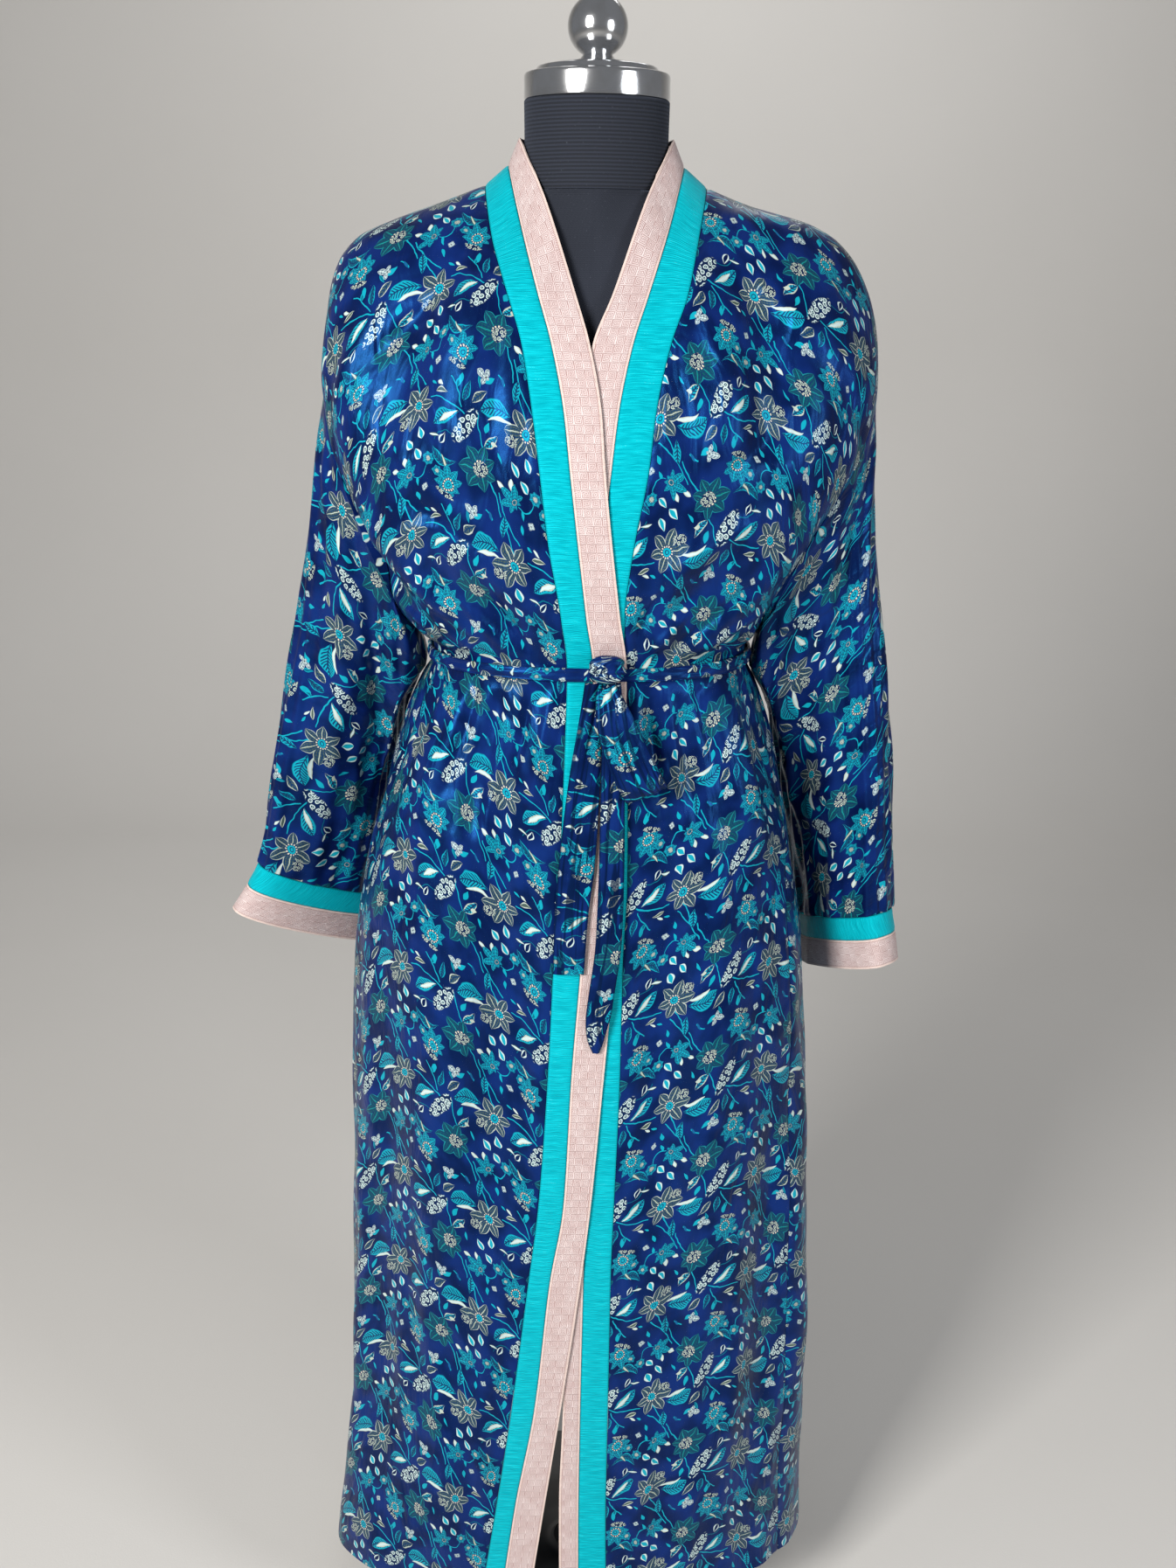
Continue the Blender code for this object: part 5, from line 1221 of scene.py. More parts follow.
# The brocade's fret is a line that winds into each square cell, the other way round in the next
# one: it lies where the fraction of 6.4 square distances plus the share of a turn is near a half
brocade, n, shader = finish_of("pink_brocade", Roughness=0.52, Sheen_Weight=0.12, Sheen_Roughness=0.4)
cut, edge = n.cut_place(), n.edge_value()
cell = n.vector("MULTIPLY", cut, (1 / FRET_CELL, 1 / FRET_CELL, 0))
x, y = n.two_parts(n.vector("SUBTRACT", n.vector("FRACTION", cell), HALF))
column, row = n.two_parts(n.vector("FLOOR", cell))
odd = n.math("MODULO", abs(column + row), 2.0) * 2.0 - 1.0
turn = n.math("ARCTAN2", y, x * odd) / (2 * math.pi)
maze = n.math("FRACT", n.most(abs(x), abs(y)) * 6.4 + turn)
key_line = n.near(maze, 0.5, 0.16, 0.27)
weft = n.wave(cut, 520.0, 0.0, "Y")
warp = n.wave(cut, 470.0)
tone = n.mix(n.band(n.flat_noise(cut, 60.0), 0.35, 0.65), (0.660, 0.535, 0.525, 1), (0.735, 0.630, 0.620, 1))
tone = n.mix((1.0 - key_line) * 0.9, tone, (0.330, 0.175, 0.165, 1))
tone = n.mix(n.band(weft, 0.4, 0.9) * 0.22, tone, (0.85, 0.72, 0.66, 1))
tone = n.mix(n.band(edge, 0.0021, 0.0015), tone, (0.74, 0.58, 0.52, 1))
tone = n.mix(n.near(edge, 0.0024, 0.0005, 0.0002) * 0.55, tone, (0.40, 0.22, 0.19, 1))
n.set(shader, "Base Color", tone)
n.set(shader, "Normal", n.bump(key_line * 0.8 + (weft * 0.25 + warp * 0.25), 0.00030, 0.8))


def spaced(count, first=0.0, last=1.0):
    """Even places from first to last, with one more close to each end for a crisp seam."""
    close = END_SHARE * (last - first)
    middle = np.linspace(first, last, count)[1:-1]
    return np.concatenate([[first, first + close], middle, [last - close, last]])


def band_waves(grid, side, amount):
    """Soft waves of a hanging strip: moved forward by an amount times three sines of its height,
    and not at all at the neck and at the belt."""
    down = grid[..., 2]
    free = ramp(np.abs(down - BELT_HEIGHT), 0.010, 0.060) * (1 - ramp(down, 1.36, 1.42))
    wave = np.sin(38 * down + 1.3 * side) + 0.6 * np.sin(83 * down + 2.0 + side) + 0.35 * np.sin(171 * down)
    return grid + FRONT_WAY * (amount * free * (0.5 + 0.5 * wave / 1.95))[..., None]


def band_pieces(side, label):
    """The two strips of one front border, each with its places across and along the strip."""
    _, down_front = outer_line(side, BAND_HEIGHTS)
    stations = np.concatenate([NECK_PLACES, down_front])
    made = []
    for strip, lines, material, slot, sides, count in (
        ("turquoise", (0, 1), turquoise, "turquoise_silk", "tse", 13),
        ("brocade", (1, 2), brocade, "pink_brocade", "ts", 15),
    ):
        grid = border_grid(side, *lines, stations, spaced(count))
        grid = band_waves(grid, side, 0.0012 if side == RIGHT else 0.0)
        across = lengths(grid, 1)
        edge = np.minimum(across, across[:, -1:] - across)
        along = lengths(grid, 0)[:, :1] + 0 * across
        outward = np.where(stations[:, None, None] < 2, (0, 1, 0.4), (0, -1, 0)) * np.ones(grid.shape)
        grid = sunk(grid, outward, depth=BAND_SINK, sides=sides)
        if strip == "brocade":
            roll = np.exp(-(((across[:, -1:] - across) / 0.0012) ** 2))
            grid = grid - out_way(grid, outward) * (0.0004 * roll)[..., None]
        name = "border_%s_%s" % (strip, label)
        cut = np.stack([across, along], -1)
        piece = cloth_piece(name, grid, outward, material, cut, BAND_WALL, edge=edge)
        take_place(piece, "front_" + name)
        made.append(piece)
    return made


bands = {RIGHT: band_pieces(RIGHT, "right"), LEFT: band_pieces(LEFT, "left")}

# Sleeves. Straight tubes of the satin with one seam under the arm, set into a low armhole and
# hanging beside the body, wide enough for the cloth to fold in on itself.
SLEEVE_CLEAR = 0.014
SLEEVE_SINK = 0.0008

# Each row gives a share of the sleeve's length, the folded top edge and the underarm edge there,
# and how far the front and the back of the sleeve stand off the line between them
RIGHT_SLEEVE_ROWS = (
    (0.00, (0.2350, 0.000, 1.276), (0.155, 0.000, 1.066), 0.060, 0.054),
    (0.12, (0.2430, -0.001, 1.228), (0.151, 0.010, 1.038), 0.057, 0.050),
    (0.25, (0.2515, -0.002, 1.175), (0.160, 0.024, 1.003), 0.051, 0.046),
    (0.50, (0.2710, 0.000, 1.062), (0.180, 0.060, 0.942), 0.041, 0.036),
    (0.75, (0.2945, 0.004, 0.942), (0.198, 0.092, 0.862), 0.032, 0.030),
    (1.00, (0.3190, 0.010, 0.822), (0.214, 0.103, 0.764), 0.025, 0.026),
    (1.06, (0.3310, 0.010, 0.800), (0.213, 0.106, 0.739), 0.025, 0.026),
    (1.13, (0.3470, 0.010, 0.775), (0.212, 0.109, 0.709), 0.026, 0.027),
)
LEFT_SLEEVE_ROWS = (
    (0.00, (0.2470, 0.000, 1.276), (0.150, 0.000, 1.066), 0.060, 0.054),
    (0.12, (0.2505, -0.006, 1.221), (0.148, 0.010, 1.038), 0.054, 0.050),
    (0.25, (0.2540, -0.014, 1.160), (0.157, 0.024, 1.002), 0.046, 0.046),
    (0.50, (0.2630, -0.030, 1.045), (0.177, 0.058, 0.940), 0.034, 0.040),
    (0.75, (0.2690, -0.042, 0.925), (0.199, 0.088, 0.858), 0.026, 0.040),
    (1.00, (0.2750, -0.047, 0.802), (0.222, 0.096, 0.750), 0.022, 0.040),
    (1.06, (0.2795, -0.048, 0.779), (0.222, 0.098, 0.726), 0.022, 0.041),
    (1.13, (0.2845, -0.049, 0.750), (0.222, 0.100, 0.697), 0.023, 0.042),
)

# Folds of a sleeve, each from degrees round it (from the top edge over the front) and a place
# along it to another such pair, with a rise in metres and a half width in degrees
RIGHT_SLEEVE_FOLDS = (
    (96, 0.04, 118, 0.80, -0.0108, 15),
    (62, 0.10, 70, 0.95, 0.0035, 18),
    (146, 0.10, 150, 0.55, 0.0060, 14),
    (232, 0.06, 246, 0.90, -0.0080, 18),
    (290, 0.15, 282, 0.95, 0.0050, 18),
)
LEFT_SLEEVE_FOLDS = (
    (88, 0.04, 100, 0.85, -0.0080, 16),
    (52, 0.12, 46, 0.95, -0.0040, 14),
    (140, 0.10, 146, 0.55, 0.0060, 14),
    (236, 0.08, 250, 0.90, -0.0090, 18),
    (300, 0.15, 306, 0.95, 0.0040, 18),
)

# Creases of a sleeve, in the same columns, but with the half width in metres
RIGHT_SLEEVE_CREASES = (
    (40, 0.02, 66, 0.30, 0.0026, 0.0090),
    (74, 0.02, 88, 0.36, -0.0030, 0.0080),
    (112, 0.05, 130, 0.40, 0.0028, 0.0070),
    (30, 0.30, 48, 0.78, -0.0024, 0.0110),
    (84, 0.34, 58, 0.72, 0.0030, 0.0100),
    (128, 0.42, 72, 0.56, -0.0026, 0.0070),
    (136, 0.50, 84, 0.62, 0.0026, 0.0070),
    (140, 0.58, 66, 0.74, -0.0026, 0.0080),
    (118, 0.70, 104, 1.00, 0.0026, 0.0090),
    (60, 0.66, 40, 1.00, -0.0022, 0.0100),
    (20, 0.10, 24, 0.62, 0.0018, 0.0100),
    (212, 0.05, 224, 0.42, 0.0030, 0.0080),
    (252, 0.03, 262, 0.38, -0.0030, 0.0090),
    (300, 0.05, 290, 0.44, 0.0026, 0.0100),
    (222, 0.46, 282, 0.58, -0.0028, 0.0080),
    (218, 0.56, 292, 0.70, 0.0028, 0.0080),
    (236, 0.70, 250, 1.00, -0.0026, 0.0090),
    (310, 0.50, 320, 1.00, 0.0024, 0.0110),
)
LEFT_SLEEVE_CREASES = (
    (36, 0.02, 58, 0.34, -0.0024, 0.0090),
    (62, 0.02, 74, 0.40, 0.0030, 0.0080),
    (96, 0.03, 112, 0.36, -0.0030, 0.0070),
    (22, 0.22, 30, 0.90, 0.0024, 0.0100),
    (66, 0.40, 56, 0.96, 0.0034, 0.0100),
    (84, 0.44, 92, 0.92, -0.0030, 0.0090),
    (130, 0.44, 96, 0.58, 0.0026, 0.0070),
    (138, 0.54, 90, 0.68, -0.0026, 0.0070),
    (132, 0.66, 78, 0.80, 0.0026, 0.0080),
    (112, 0.76, 118, 1.00, -0.0024, 0.0080),
    (38, 0.60, 42, 1.00, -0.0022, 0.0090),
    (214, 0.05, 226, 0.42, 0.0030, 0.0080),
    (250, 0.03, 262, 0.40, -0.0030, 0.0090),
    (302, 0.05, 288, 0.44, 0.0026, 0.0100),
    (220, 0.46, 286, 0.60, -0.0028, 0.0080),
    (216, 0.58, 294, 0.72, 0.0028, 0.0080),
    (238, 0.72, 252, 1.00, -0.0026, 0.0090),
    (312, 0.48, 318, 1.00, 0.0024, 0.0110),
)
SLEEVE_GIRTH_PER_DEGREE = 0.00105
SLEEVE_LENGTH = 0.49


def armhole_point(side, turn, face):
    """Point of the armhole seam: turn 0 is its top at the shoulder fold, turn 1 the underarm."""
    drop = armhole_drop(turn)
    height = ARMHOLE_TOP_HEIGHT + (UNDERARM_HEIGHT - ARMHOLE_TOP_HEIGHT) * drop
    return wall_point(side * armhole_across(side, drop), height, face)


def sleeve_oval(side, along, turns):
    """Oval between the folded top edge and the underarm edge: their middle, plus half their
    difference times the cosine, plus the stand-off times sine^0.85 square to both."""
    rows = RIGHT_SLEEVE_ROWS if side == RIGHT else LEFT_SLEEVE_ROWS
    folds = RIGHT_SLEEVE_FOLDS if side == RIGHT else LEFT_SLEEVE_FOLDS
    places = [row[0] for row in rows]
    top_line, under_line = (np.array([row[k] for row in rows]) * (side, 1, 1) for k in (1, 2))
    top, under = (smooth_line(along, places, line)[:, None] for line in (top_line, under_line))
    way = top_line[-1] + under_line[-1] - top_line[0] - under_line[0]
    off = np.cross(top - under, way)
    off = off / np.linalg.norm(off, axis=-1, keepdims=True)
    off = np.where(off[..., 1:2] > 0, -off, off)
    front, back = (smooth(along, places, [row[k] for row in rows])[:, None] + 0 * turns for k in (3, 4))
    degrees = np.degrees(turns)
    for around, start, end_around, end, peak, half in folds:
        share = np.clip((along[:, None] - start) / (end - start), 0, 1)
        middle = around + (end_around - around) * share
        bump = peak * np.sin(math.pi * share) ** FOLD_POWER * np.exp(-(((degrees - middle) / half) ** 2))
        front = front + np.where(degrees < 180, bump, 0)
        back = back + np.where(degrees >= 180, bump, 0)
    sine = np.sin(turns)
    stand_off = np.where(sine >= 0, front, back) * np.sign(sine) * np.abs(sine) ** 0.85
    return (top + under) / 2 + (top - under) / 2 * np.cos(turns)[:, None] + off * stand_off[..., None]


def sleeve_grid(side, along, turns, creased=1.0):
    """Rings along a sleeve: the armhole seam settles into the plain oval as (1 - along/0.35)^2,
    pushed out of the body's section by a set distance, then moved along its normal by creases."""
    along = np.asarray(along, float)
    ahead = (turns <= math.pi)[:, None]
    armhole = np.where(
        ahead,
        armhole_point(side, np.clip(turns / math.pi, 0, 1), FRONT),
        armhole_point(side, np.clip(2 - turns / math.pi, 0, 1), BACK),
    )
    settle = (np.clip(1 - along / 0.35, 0, 1) ** 2)[:, None, None]
    ring = sleeve_oval(side, along, turns) + (armhole - sleeve_oval(side, np.zeros(1), turns)) * settle
    clear = (SLEEVE_CLEAR * ramp(along, 0.06, 0.34))[:, None]
    half = half_width(side, ring[..., 2]) + clear
    depth = np.where(ring[..., 1] < 0, body("front", ring[..., 2]), body("back", ring[..., 2])) + clear
    square = body("squareness", ring[..., 2])
    across, deep = np.abs(ring[..., 0]) / half, np.abs(ring[..., 1]) / depth
    reach = (across**square + deep**square) ** (1 / square)
    push = np.where(along[:, None] > 0, np.maximum(1 / reach, 1), 1.0)
    ring[..., :2] *= push[..., None]
    rows = RIGHT_SLEEVE_CREASES if side == RIGHT else LEFT_SLEEVE_CREASES
    scale = SLEEVE_GIRTH_PER_DEGREE / FOLD_GIRTH_RADIUS
    table = [
        (math.degrees(a * scale), -b * SLEEVE_LENGTH, math.degrees(c * scale), -d * SLEEVE_LENGTH, peak, wide)
        for a, b, c, d, peak, wide in rows
    ]
    degrees = np.degrees(turns)
    around = np.degrees(degrees * scale)[None, :] + 0 * along[:, None]
    rise = fold_rise(around, -along[:, None] * SLEEVE_LENGTH + 0 * degrees, table, CREASE_POWER)
    fade = ramp(along, 0.0, 0.10)[:, None]
    wave = slack(degrees * 0.6, along[:, None] * 0.5 + 0.2)
    way = out_way(ring, ring - ring.mean(axis=1, keepdims=True), True)
    return ring + way * (creased * fade * (rise + wave))[..., None]


SLEEVE_TURNS = (math.pi + np.linspace(0, 2 * math.pi, 161)[:-1]) % (2 * math.pi)
SLEEVE_PLACES = np.concatenate([
    [0, 0.002, 0.006, 0.012], np.linspace(0.02, 0.992, 110), [0.996, 0.9985, 1.0]])


def tube_piece(name, side, along, material, depth, wall=SATIN_WALL, sides="tb", printed_at=None):
    """Closed tube with its seam under the arm: a sleeve where the print has a place, and else a
    smooth cuff strip. Its cut is as wide as the ring is long and as long as the tube."""
    strip = printed_at is None
    grid = sleeve_grid(side, along, SLEEVE_TURNS, 0.0 if strip else 1.0)
    outward = grid - grid.mean(axis=1, keepdims=True)
    full = np.concatenate([grid, grid[:, :1]], axis=1)
    around, down = lengths(full, 1), lengths(full, 0)
    cut = np.stack([down, around], -1) if strip else sleeve_print(side, full, *printed_at)
    edge = np.minimum(down, down[-1:] - down)[:, :-1] if strip else None
    grid = sunk(grid, outward, True, depth, sides)
    return cloth_piece(name, grid, outward, material, cut, wall, True, edge)


def sleeve_print(side, grid, at, slant, drift, scale):
    """Places on the print, turned a quarter: its rows run down along the sleeve's own direction,
    and its columns round the tube from the top fold, measured square to that direction."""
    rows = RIGHT_SLEEVE_ROWS if side == RIGHT else LEFT_SLEEVE_ROWS
    way = (np.add(rows[-1][1], rows[-1][2]) - np.add(rows[0][1], rows[0][2])) * (side, 1, 1)
    way = way / np.linalg.norm(way)
    down = grid @ way
    around = lengths(grid - down[..., None] * way, 1)
    around = -side * (around - around[:, len(SLEEVE_TURNS) // 2, None])
    along = slant * around - down - at[0]
    return np.stack([along, around - at[1] + drift * along], -1) / scale


sleeves = {}
for side, label, printed_at, flat, area in (
    (RIGHT, "right", ((0.8887, 0.0464), 0.26, -0.137, 1.15), (0.569, 0.462), 0.129),
    (LEFT, "left", ((0.8290, -0.0771), -0.60, 0.089, 1.06), (0.583, 0.478), 0.141),
):
    name = "sleeve_%s_satin" % label
    sleeves[side] = tube_piece(name, side, SLEEVE_PLACES, satin, SLEEVE_SINK, printed_at=printed_at)
    take_place(sleeves[side], "sleeve_" + label)

# Cuffs. The same two strips as on the front borders, sewn round the end of each sleeve, the
# turquoise one next to the satin and the brocade one outermost.
CUFF_SEAM = 1.06
CUFF_END = 1.13
CUFF_PLACES = spaced(9, 1.0, CUFF_SEAM)
CUFF_LOWER_PLACES = spaced(11, CUFF_SEAM, CUFF_END)
for side, label, girth in ((RIGHT, "right", 0.346), (LEFT, "left", 0.368)):
    upper_cuff = tube_piece("cuff_ribbed_" + label, side, CUFF_PLACES, turquoise, BAND_SINK, BAND_WALL)
    take_place(upper_cuff, "cuff_turquoise_" + label)
    lower_cuff = tube_piece(
        "cuff_figured_" + label, side, CUFF_LOWER_PLACES, brocade, BAND_SINK, BAND_WALL, "t")
    take_place(lower_cuff, "cuff_brocade_" + label)

# Belt. A narrow strip of the satin, folded and drawn tight round the waist over the borders, so
# that it gathers into lengthwise creases.
BELT_TALL = 0.012
BELT_THICK = 0.0046
BELT_CLEAR = 0.0007
BELT_DRAWN = 1.25


def waist_wrap(angle):
    """Middle line of the belt: the robe's level section at its height, folds and all, moved out
    by half the belt, and over the lapped border in front."""
    turn = np.arctan2(np.abs(np.sin(angle)), np.abs(np.cos(angle)))
    ahead = np.cos(angle) >= 0
    right, left = (
        np.abs(np.where(ahead, *(oval_across(side, BELT_HEIGHT, turn, face) for face in (FRONT, BACK))))
        for side in (RIGHT, LEFT)
    )
    across = np.where(np.sin(angle) < 0, -right, left)
    height = np.full_like(angle, BELT_HEIGHT)
    wall = np.where(ahead[:, None], wall_point(across, height, FRONT), wall_point(across, height, BACK))
    over_top_layer = TOP_LAYER_LIFT * np.clip(np.cos(angle), 0, 1) ** 0.5
    ring_way = np.stack([np.sin(angle), -np.cos(angle), 0 * angle], -1)
    return wall + ring_way * (over_top_layer + BELT_CLEAR + BELT_THICK / 2)[:, None]


def belt_grid(around, section):
    """The belt's section is a squared oval, carried round the waist. Its face sinks in by creases
    that run along it and drift up and down: depth times (1 + sin(k turn + drift)) / 2."""
    line = waist_wrap(around)
    way = np.roll(line, -1, axis=0) - np.roll(line, 1, axis=0)
    out = np.stack([-way[:, 1], way[:, 0], 0 * around], -1)
    out = out / np.linalg.norm(out, axis=1, keepdims=True)
    out *= np.sign(np.sum(out * line, axis=1, keepdims=True))
    reach = np.sign(np.cos(section)) * np.abs(np.cos(section)) ** 0.6
    rise = np.sign(np.sin(section)) * np.abs(np.sin(section)) ** 0.8
    a, s = around[:, None], section[None, :]
    drift = 1.6 * np.sin(3 * a + 0.7) + 1.1 * np.sin(7 * a + 2.0) + 0.5 * np.sin(19 * a)
    crease = 0.5 + 0.5 * np.sin(5 * s + drift)
    fine = 0.5 + 0.5 * np.sin(11 * s - 1.7 * drift + 0.6 * np.sin(23 * a))
    sink = (0.0010 * crease + 0.0004 * fine) * np.clip(np.cos(s) * 1.6, 0, 1)
    tall = BELT_TALL / 2 * (1 - 0.10 * (0.5 + 0.5 * np.sin(6 * a + 1.0 * np.sin(4 * a))))
    grid = line[:, None] + out[:, None] * (BELT_THICK / 2 * reach[None, :] - sink)[..., None]
    return grid + np.stack([0 * sink, 0 * sink, tall * rise[None, :]], -1)


belt_around = np.linspace(0, 2 * math.pi, 561)[:-1]
belt_section = np.linspace(0, 2 * math.pi, 41)[:-1] + math.pi
belt_ring = belt_grid(belt_around, belt_section)
rows, columns = belt_ring.shape[:2]
r, c = (part.ravel() for part in np.meshgrid(np.arange(rows), np.arange(columns), indexing="ij"))
r_next, c_next = (r + 1) % rows, (c + 1) % columns
faces = np.stack([r * columns + c, r_next * columns + c, r_next * columns + c_next, r * columns + c_next], -1)
wide = columns + 1
spots = np.stack([r * wide + c, (r + 1) * wide + c, (r + 1) * wide + c + 1, r * wide + c + 1], -1)
full = np.concatenate([belt_ring, belt_ring[:1]], axis=0)
full = np.concatenate([full, full[:, :1]], axis=1)
over = lengths(full, 1)
belt_cut = np.stack([over * BELT_DRAWN, lengths(full[:, :1], 0) + 0 * over], -1).reshape(-1, 2)[spots]
belt = mesh_piece("belt_round_waist", belt_ring.reshape(-1, 3), faces, satin, belt_cut, crisp=70)
take_place(belt, "belt_waist")

# Belt tails, loop and knot. The belt is tied once in front as a half bow: one loop leans out to
# the wearer's left, two ends hang down, and the knot holds them all. Its satin is the same print,
# with painted shade: dark streaks along it for the shadows of its creases, and darker where its
# edges turn in.
shaded_belt_satin = satin.copy()
shaded_belt_satin.name = "printed_satin_of_belt_painted_shade"
n = Nodes(shaded_belt_satin.node_tree)
shader = n.tree.nodes["Principled BSDF"]
plain = Value(n, shader.inputs["Base Color"].links[0].from_socket)
# Painted shade: dark navy streaks along the strip stand in for the shadows of its creases, and the edge value
# darkens it where its edges turn in.
crease_shadow_noise = n.drawn_noise(n.cut_place(), 260, 13)
shade = n.most(n.band(crease_shadow_noise, 0.50, 0.38) * 0.80, n.edge_value())
n.set(shader, "Base Color", n.mix(shade, plain, (0.0012, 0.0035, 0.0220, 1)))

# The middle line of each strip: across and height, with the width there and how far it hangs in
# front of the robe
TAIL_RIGHT_ROWS = (
    (0.0040, 1.0431, 0.013, 0.0085),
    (0.0030, 1.0340, 0.014, 0.0075),
    (0.0010, 1.0100, 0.018, 0.0045),
    (-0.0035, 0.9500, 0.027, 0.0040),
    (-0.0088, 0.8800, 0.031, 0.0036),
    (-0.0132, 0.8300, 0.029, 0.0034),
    (-0.0152, 0.7780, 0.027, 0.0034),
)
TAIL_LEFT_ROWS = (
    (0.0190, 1.0431, 0.013, 0.0085),
    (0.0205, 1.0100, 0.017, 0.0075),
    (0.0215, 0.9500, 0.020, 0.0060),
    (0.0218, 0.8900, 0.021, 0.0045),
    (0.0205, 0.8150, 0.022, 0.0040),
    (0.0130, 0.7450, 0.022, 0.0038),
    (0.0100, 0.7150, 0.014, 0.0038),
    (0.0104, 0.7020, 0.004, 0.0038),
)
LOOP_ROWS = (
    (0.0140, 1.0402, 0.016, 0.0168),
    (0.0215, 1.0150, 0.030, 0.0225),
    (0.0320, 0.9880, 0.036, 0.0240),
    (0.0430, 0.9640, 0.038, 0.0240),
    (0.0490, 0.9520, 0.038, 0.0205),
    (0.0505, 0.9490, 0.038, 0.0170),
    (0.0480, 0.9530, 0.038, 0.0140),
    (0.0400, 0.9700, 0.036, 0.0125),
    (0.0290, 0.9960, 0.032, 0.0130),
    (0.0200, 1.0220, 0.024, 0.0136),
    (0.0150, 1.0400, 0.015, 0.0136),
)
LOOP_LEAN = math.radians(24)
STRIP_WALL = 0.0014
STRIP_CUP = 0.0012
STRIP_CREASE = 0.0020
STRIP_GATHER = 0.070
STRIP_EDGE_SHADE_WIDTH = 0.0011
KNOT_CENTRE = (0.0150, 1.0555)
KNOT_HALF = (0.0165, 0.0078, 0.0125)
KNOT_SINK = 0.0007


def strip_grid(rows, count, columns, lean):
    """Strip along its middle line, with its width across it at a lean, and bowed forward by
    the cup times (1 - share^2)."""
    table = np.array(rows)
    step = np.linalg.norm(np.diff(table[:, [0, 1, 3]], axis=0), axis=1)
    length = np.concatenate([[0], np.cumsum(step)])
    at = np.linspace(0, length[-1], count)
    across, height, width, clear = (smooth(at, length, table[:, k]) for k in range(4))
    share = np.linspace(-1, 1, columns)
    x = across[:, None] + share * width[:, None] / 2 * math.cos(lean)
    z = height[:, None] + share * width[:, None] / 2 * math.sin(lean)
    middle = wall_point(across, height, FRONT, TOP_LAYER_LIFT)[:, 1]
    y = (middle - clear)[:, None] - STRIP_CUP * (1 - share**2)[None, :]
    return np.stack([x, np.broadcast_to(y, x.shape), z], -1)


def creased_strip(grid, count):
    """Lengthwise creases of a strip, deepest at the knot: their depth times a cosine across it
    that drifts with its length, times exp(-length / gather) plus a quarter."""
    rows, columns = grid.shape[:2]
    share = np.linspace(-1, 1, columns)[None, :]
    down = lengths(grid, 0)[:, columns // 2][:, None]
    near = np.exp(-down / STRIP_GATHER) + 0.25
    wave = np.cos(count * math.pi * share + 3.0 * np.sin(9 * down) + 14 * down)
    side = 1 - share**6
    return grid + grid_way(grid, False) * (-STRIP_CREASE * near * (0.5 + 0.5 * wave) * side)[..., None]


for name, node, rows, count, columns, lean, creases, from_across, flat in (
    ("belt_end_right", "belt_tail_right", TAIL_RIGHT_ROWS, 220, 31, 0.0, 1.6, 0.012, (0.0295, 0.265)),
    ("belt_end_left", "belt_tail_left", TAIL_LEFT_ROWS, 260, 31, 0.0, 1.9, 0.046, (0.0225, 0.342)),
    ("belt_half_bow", "belt_loop", LOOP_ROWS, 240, 37, LOOP_LEAN, 2.4, 0.020, (0.062, 0.112)),
):
    grid = strip_grid(rows, count, columns, lean)
    along, over = lengths(grid, 0), lengths(grid, 1)
    strip_cut = np.stack([over + from_across, along], -1)
    from_edge = np.minimum(over, over[:, -1:] - over)
    # Painted shade at the strip's long edges, where they turn in: a weight of 1 at the edge that falls off as
    # exp(-(distance / width)^2).
    dark = np.exp(-((from_edge / STRIP_EDGE_SHADE_WIDTH) ** 2))
    grid = creased_strip(grid, creases)
    strip = cloth_piece(name, grid, grid_way(grid, False), shaded_belt_satin, strip_cut, STRIP_WALL, edge=dark)
    take_place(strip, node)


def knot_rings(levels, around):
    """Squared ball: width (1 - |level|^2.4)^(1/2.4), narrowed in the middle by the strand that is
    drawn round it, and sunk by creases that wind across it."""
    belt_front = waist_wrap(np.array([0.0]))[0, 1] - BELT_THICK / 2
    centre_y = belt_front - 0.0003 - KNOT_HALF[1] + KNOT_SINK
    level, turn = levels[:, None], around[None, :]
    width = (1 - np.abs(level) ** 2.4) ** (1 / 2.4)
    strand = np.exp(-(((level - 0.30 * np.cos(turn)) / 0.16) ** 2))
    seam = np.exp(-(((level + 0.42 + 0.22 * np.sin(turn)) / 0.09) ** 2))
    winding = 0.5 + 0.5 * np.sin(7 * level + 2.2 * turn + 1.1 * np.sin(3 * turn))
    shrink = 1 - 0.10 * strand - 0.13 * seam - 0.08 * winding
    return np.stack([
        KNOT_CENTRE[0] + KNOT_HALF[0] * width * shrink * np.cos(turn),
        centre_y + KNOT_HALF[1] * width * shrink * np.sin(turn),
        KNOT_CENTRE[1] + KNOT_HALF[2] * level + 0 * turn,
    ], -1)


knot_around = np.linspace(0, 2 * math.pi, 97)[:-1]
knot_levels = 0.94 * np.sin(np.linspace(-math.pi / 2, math.pi / 2, 61))
rings = knot_rings(knot_levels, knot_around)
points, faces, spots = capped(rings)
full = np.concatenate([rings, rings[:, :1]], axis=1)
side_places = np.stack([lengths(full, 1), lengths(full, 0)], -1).reshape(-1, 2)[spots]
cap_places = points[faces[len(spots):]][..., :2]
knot_cut = np.concatenate([side_places, cap_places])
knot = mesh_piece("belt_tied_knot", points, faces, shaded_belt_satin, knot_cut, crisp=80)
take_place(knot, "belt_knot")

# Studio. A plain pale floor that curves up into a backdrop, a large soft lamp at the upper left
# behind the camera, a weaker one at the right, one high behind the form that lights the backdrop,
# and an even pale surround. The camera looks down at the robe as in the photograph.
FLOOR_PALE = (0.62, 0.60, 0.57, 1)
CAMERA_PLACE = (0.0, -1.433, 1.37)
CAMERA_TILT = math.radians(90 - 17.7)
CAMERA_ROLL = math.radians(0.76)
CAMERA_LENS = 1810 / 1794 * 36

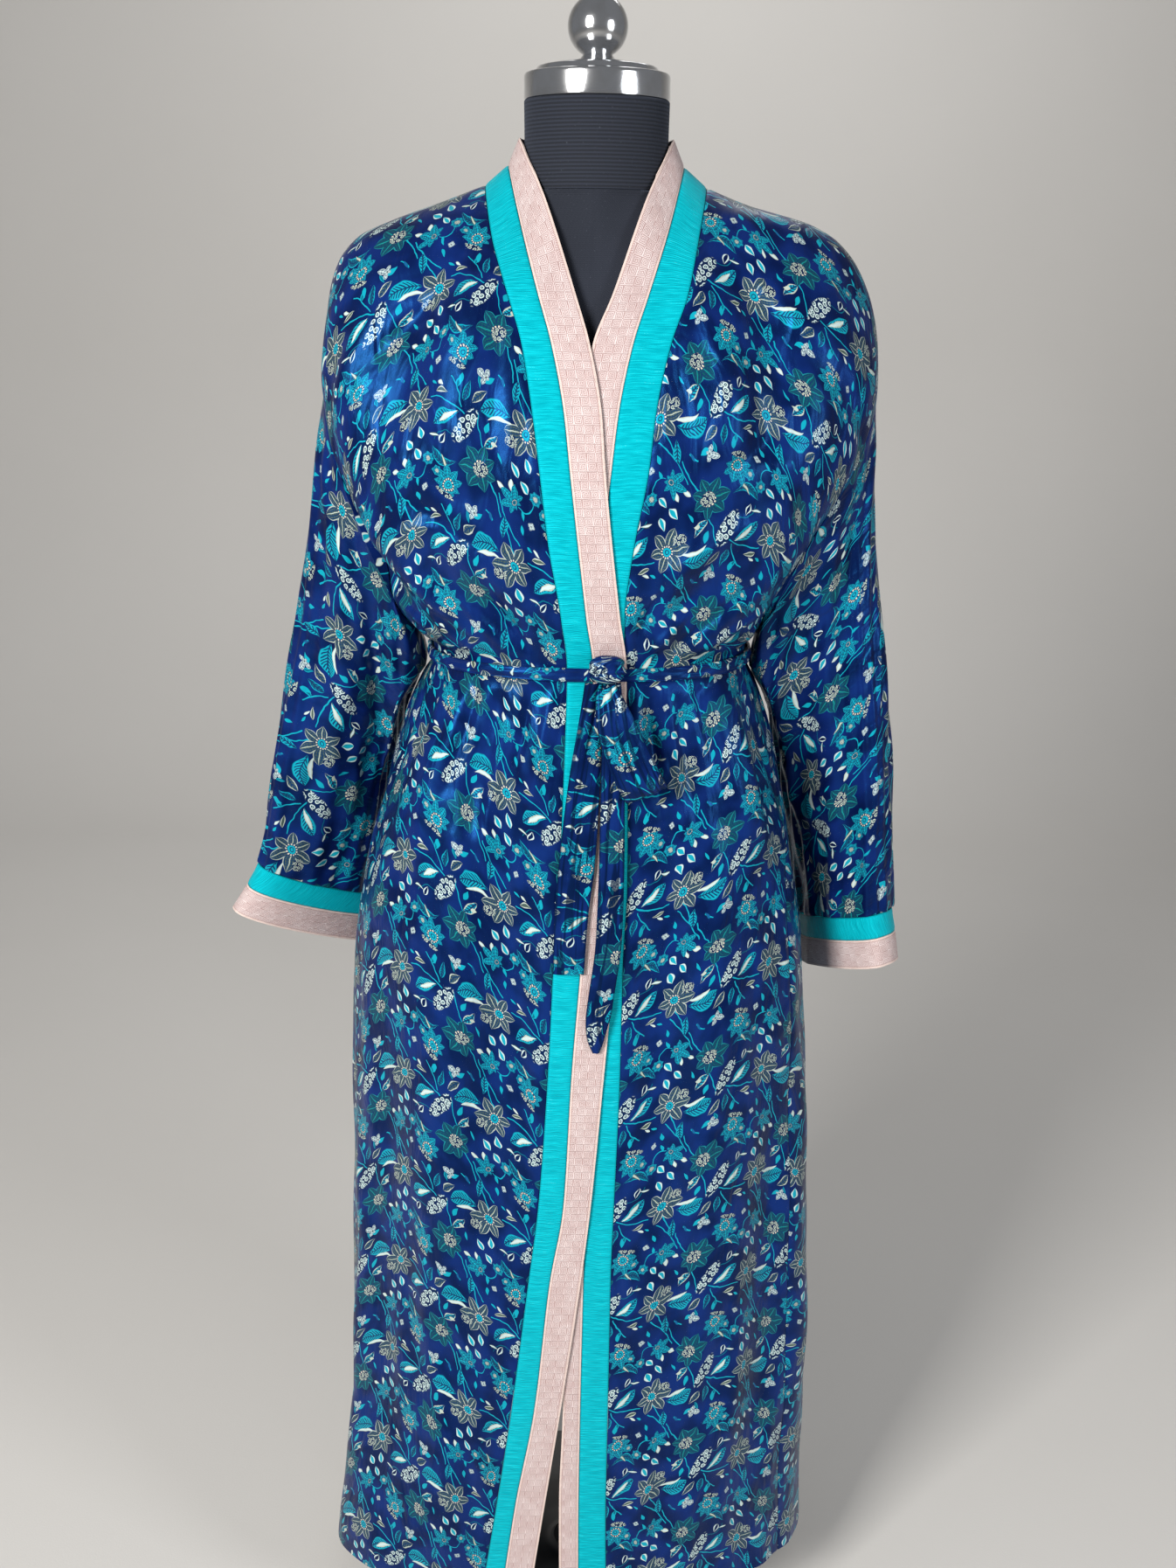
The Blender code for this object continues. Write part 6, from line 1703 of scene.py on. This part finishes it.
sweep, n, shader = finish_of("studio_floor", Roughness=0.85)
place = n.own_place()
n.set(shader, "Base Color", n.mix(n.noise(place, 1.6, 4.0), FLOOR_PALE, (0.66, 0.64, 0.61, 1)))
n.set(shader, "Normal", n.bump(n.noise(place, 420.0), 0.0004, 0.3))
bend = np.linspace(0, math.pi / 2, 24)
back_y = np.concatenate([[-6.0, -1.0], 2.4 + 1.2 * np.sin(bend), [3.6]])
back_z = np.concatenate([[0.0, 0.0], 1.2 - 1.2 * np.cos(bend), [6.0]])
across = np.linspace(-6, 6, 13)
floor_grid = np.stack(np.broadcast_arrays(across[None, :], back_y[:, None], back_z[:, None]), -1)
corners, _ = grid_faces(*floor_grid.shape[:2], False)
floor = mesh_piece("floor", floor_grid.reshape(-1, 3), corners, sweep)


def soft_lamp(name, place, aim, size, power, tint):
    """Square area lamp that faces the point it aims at."""
    light = bpy.data.lights.new(name, "AREA")
    light.shape = "SQUARE"
    light.size = size
    light.energy = power
    light.color = tint
    lamp = bpy.data.objects.new(name, light)
    bpy.context.scene.collection.objects.link(lamp)
    lamp.location = place
    way = np.subtract(aim, place)
    tilt = math.acos(-way[2] / np.linalg.norm(way))
    lamp.rotation_euler = (tilt, 0, math.atan2(way[1], way[0]) - math.pi / 2)


soft_lamp("key_lamp", (-1.5, -2.3, 2.0), (0, 0, 0.9), 0.9, 112, (1.0, 0.985, 0.96))
soft_lamp("fill_lamp", (2.1, -1.7, 1.5), (0, 0, 0.8), 0.8, 30, (0.95, 0.97, 1.0))
soft_lamp("top_lamp", (0.3, 2.0, 3.2), (0, 2.8, 1.0), 1.4, 24, (1.0, 1.0, 1.0))
world = bpy.data.worlds.new("surround")
world.use_nodes = True
surround = world.node_tree.nodes["Background"]
surround.inputs["Color"].default_value = (0.86, 0.88, 0.92, 1)
surround.inputs["Strength"].default_value = 0.22
bpy.context.scene.world = world
bpy.context.scene.view_settings.view_transform = "Standard"
camera = bpy.data.objects.new("camera", bpy.data.cameras.new("camera"))
bpy.context.scene.collection.objects.link(camera)
camera.data.sensor_width = 36
camera.data.lens = CAMERA_LENS
camera.location = CAMERA_PLACE
camera_turn = Euler((CAMERA_TILT, 0, 0)).to_matrix() @ Matrix.Rotation(CAMERA_ROLL, 3, "Z")
camera.rotation_euler = camera_turn.to_euler()
bpy.context.scene.camera = camera
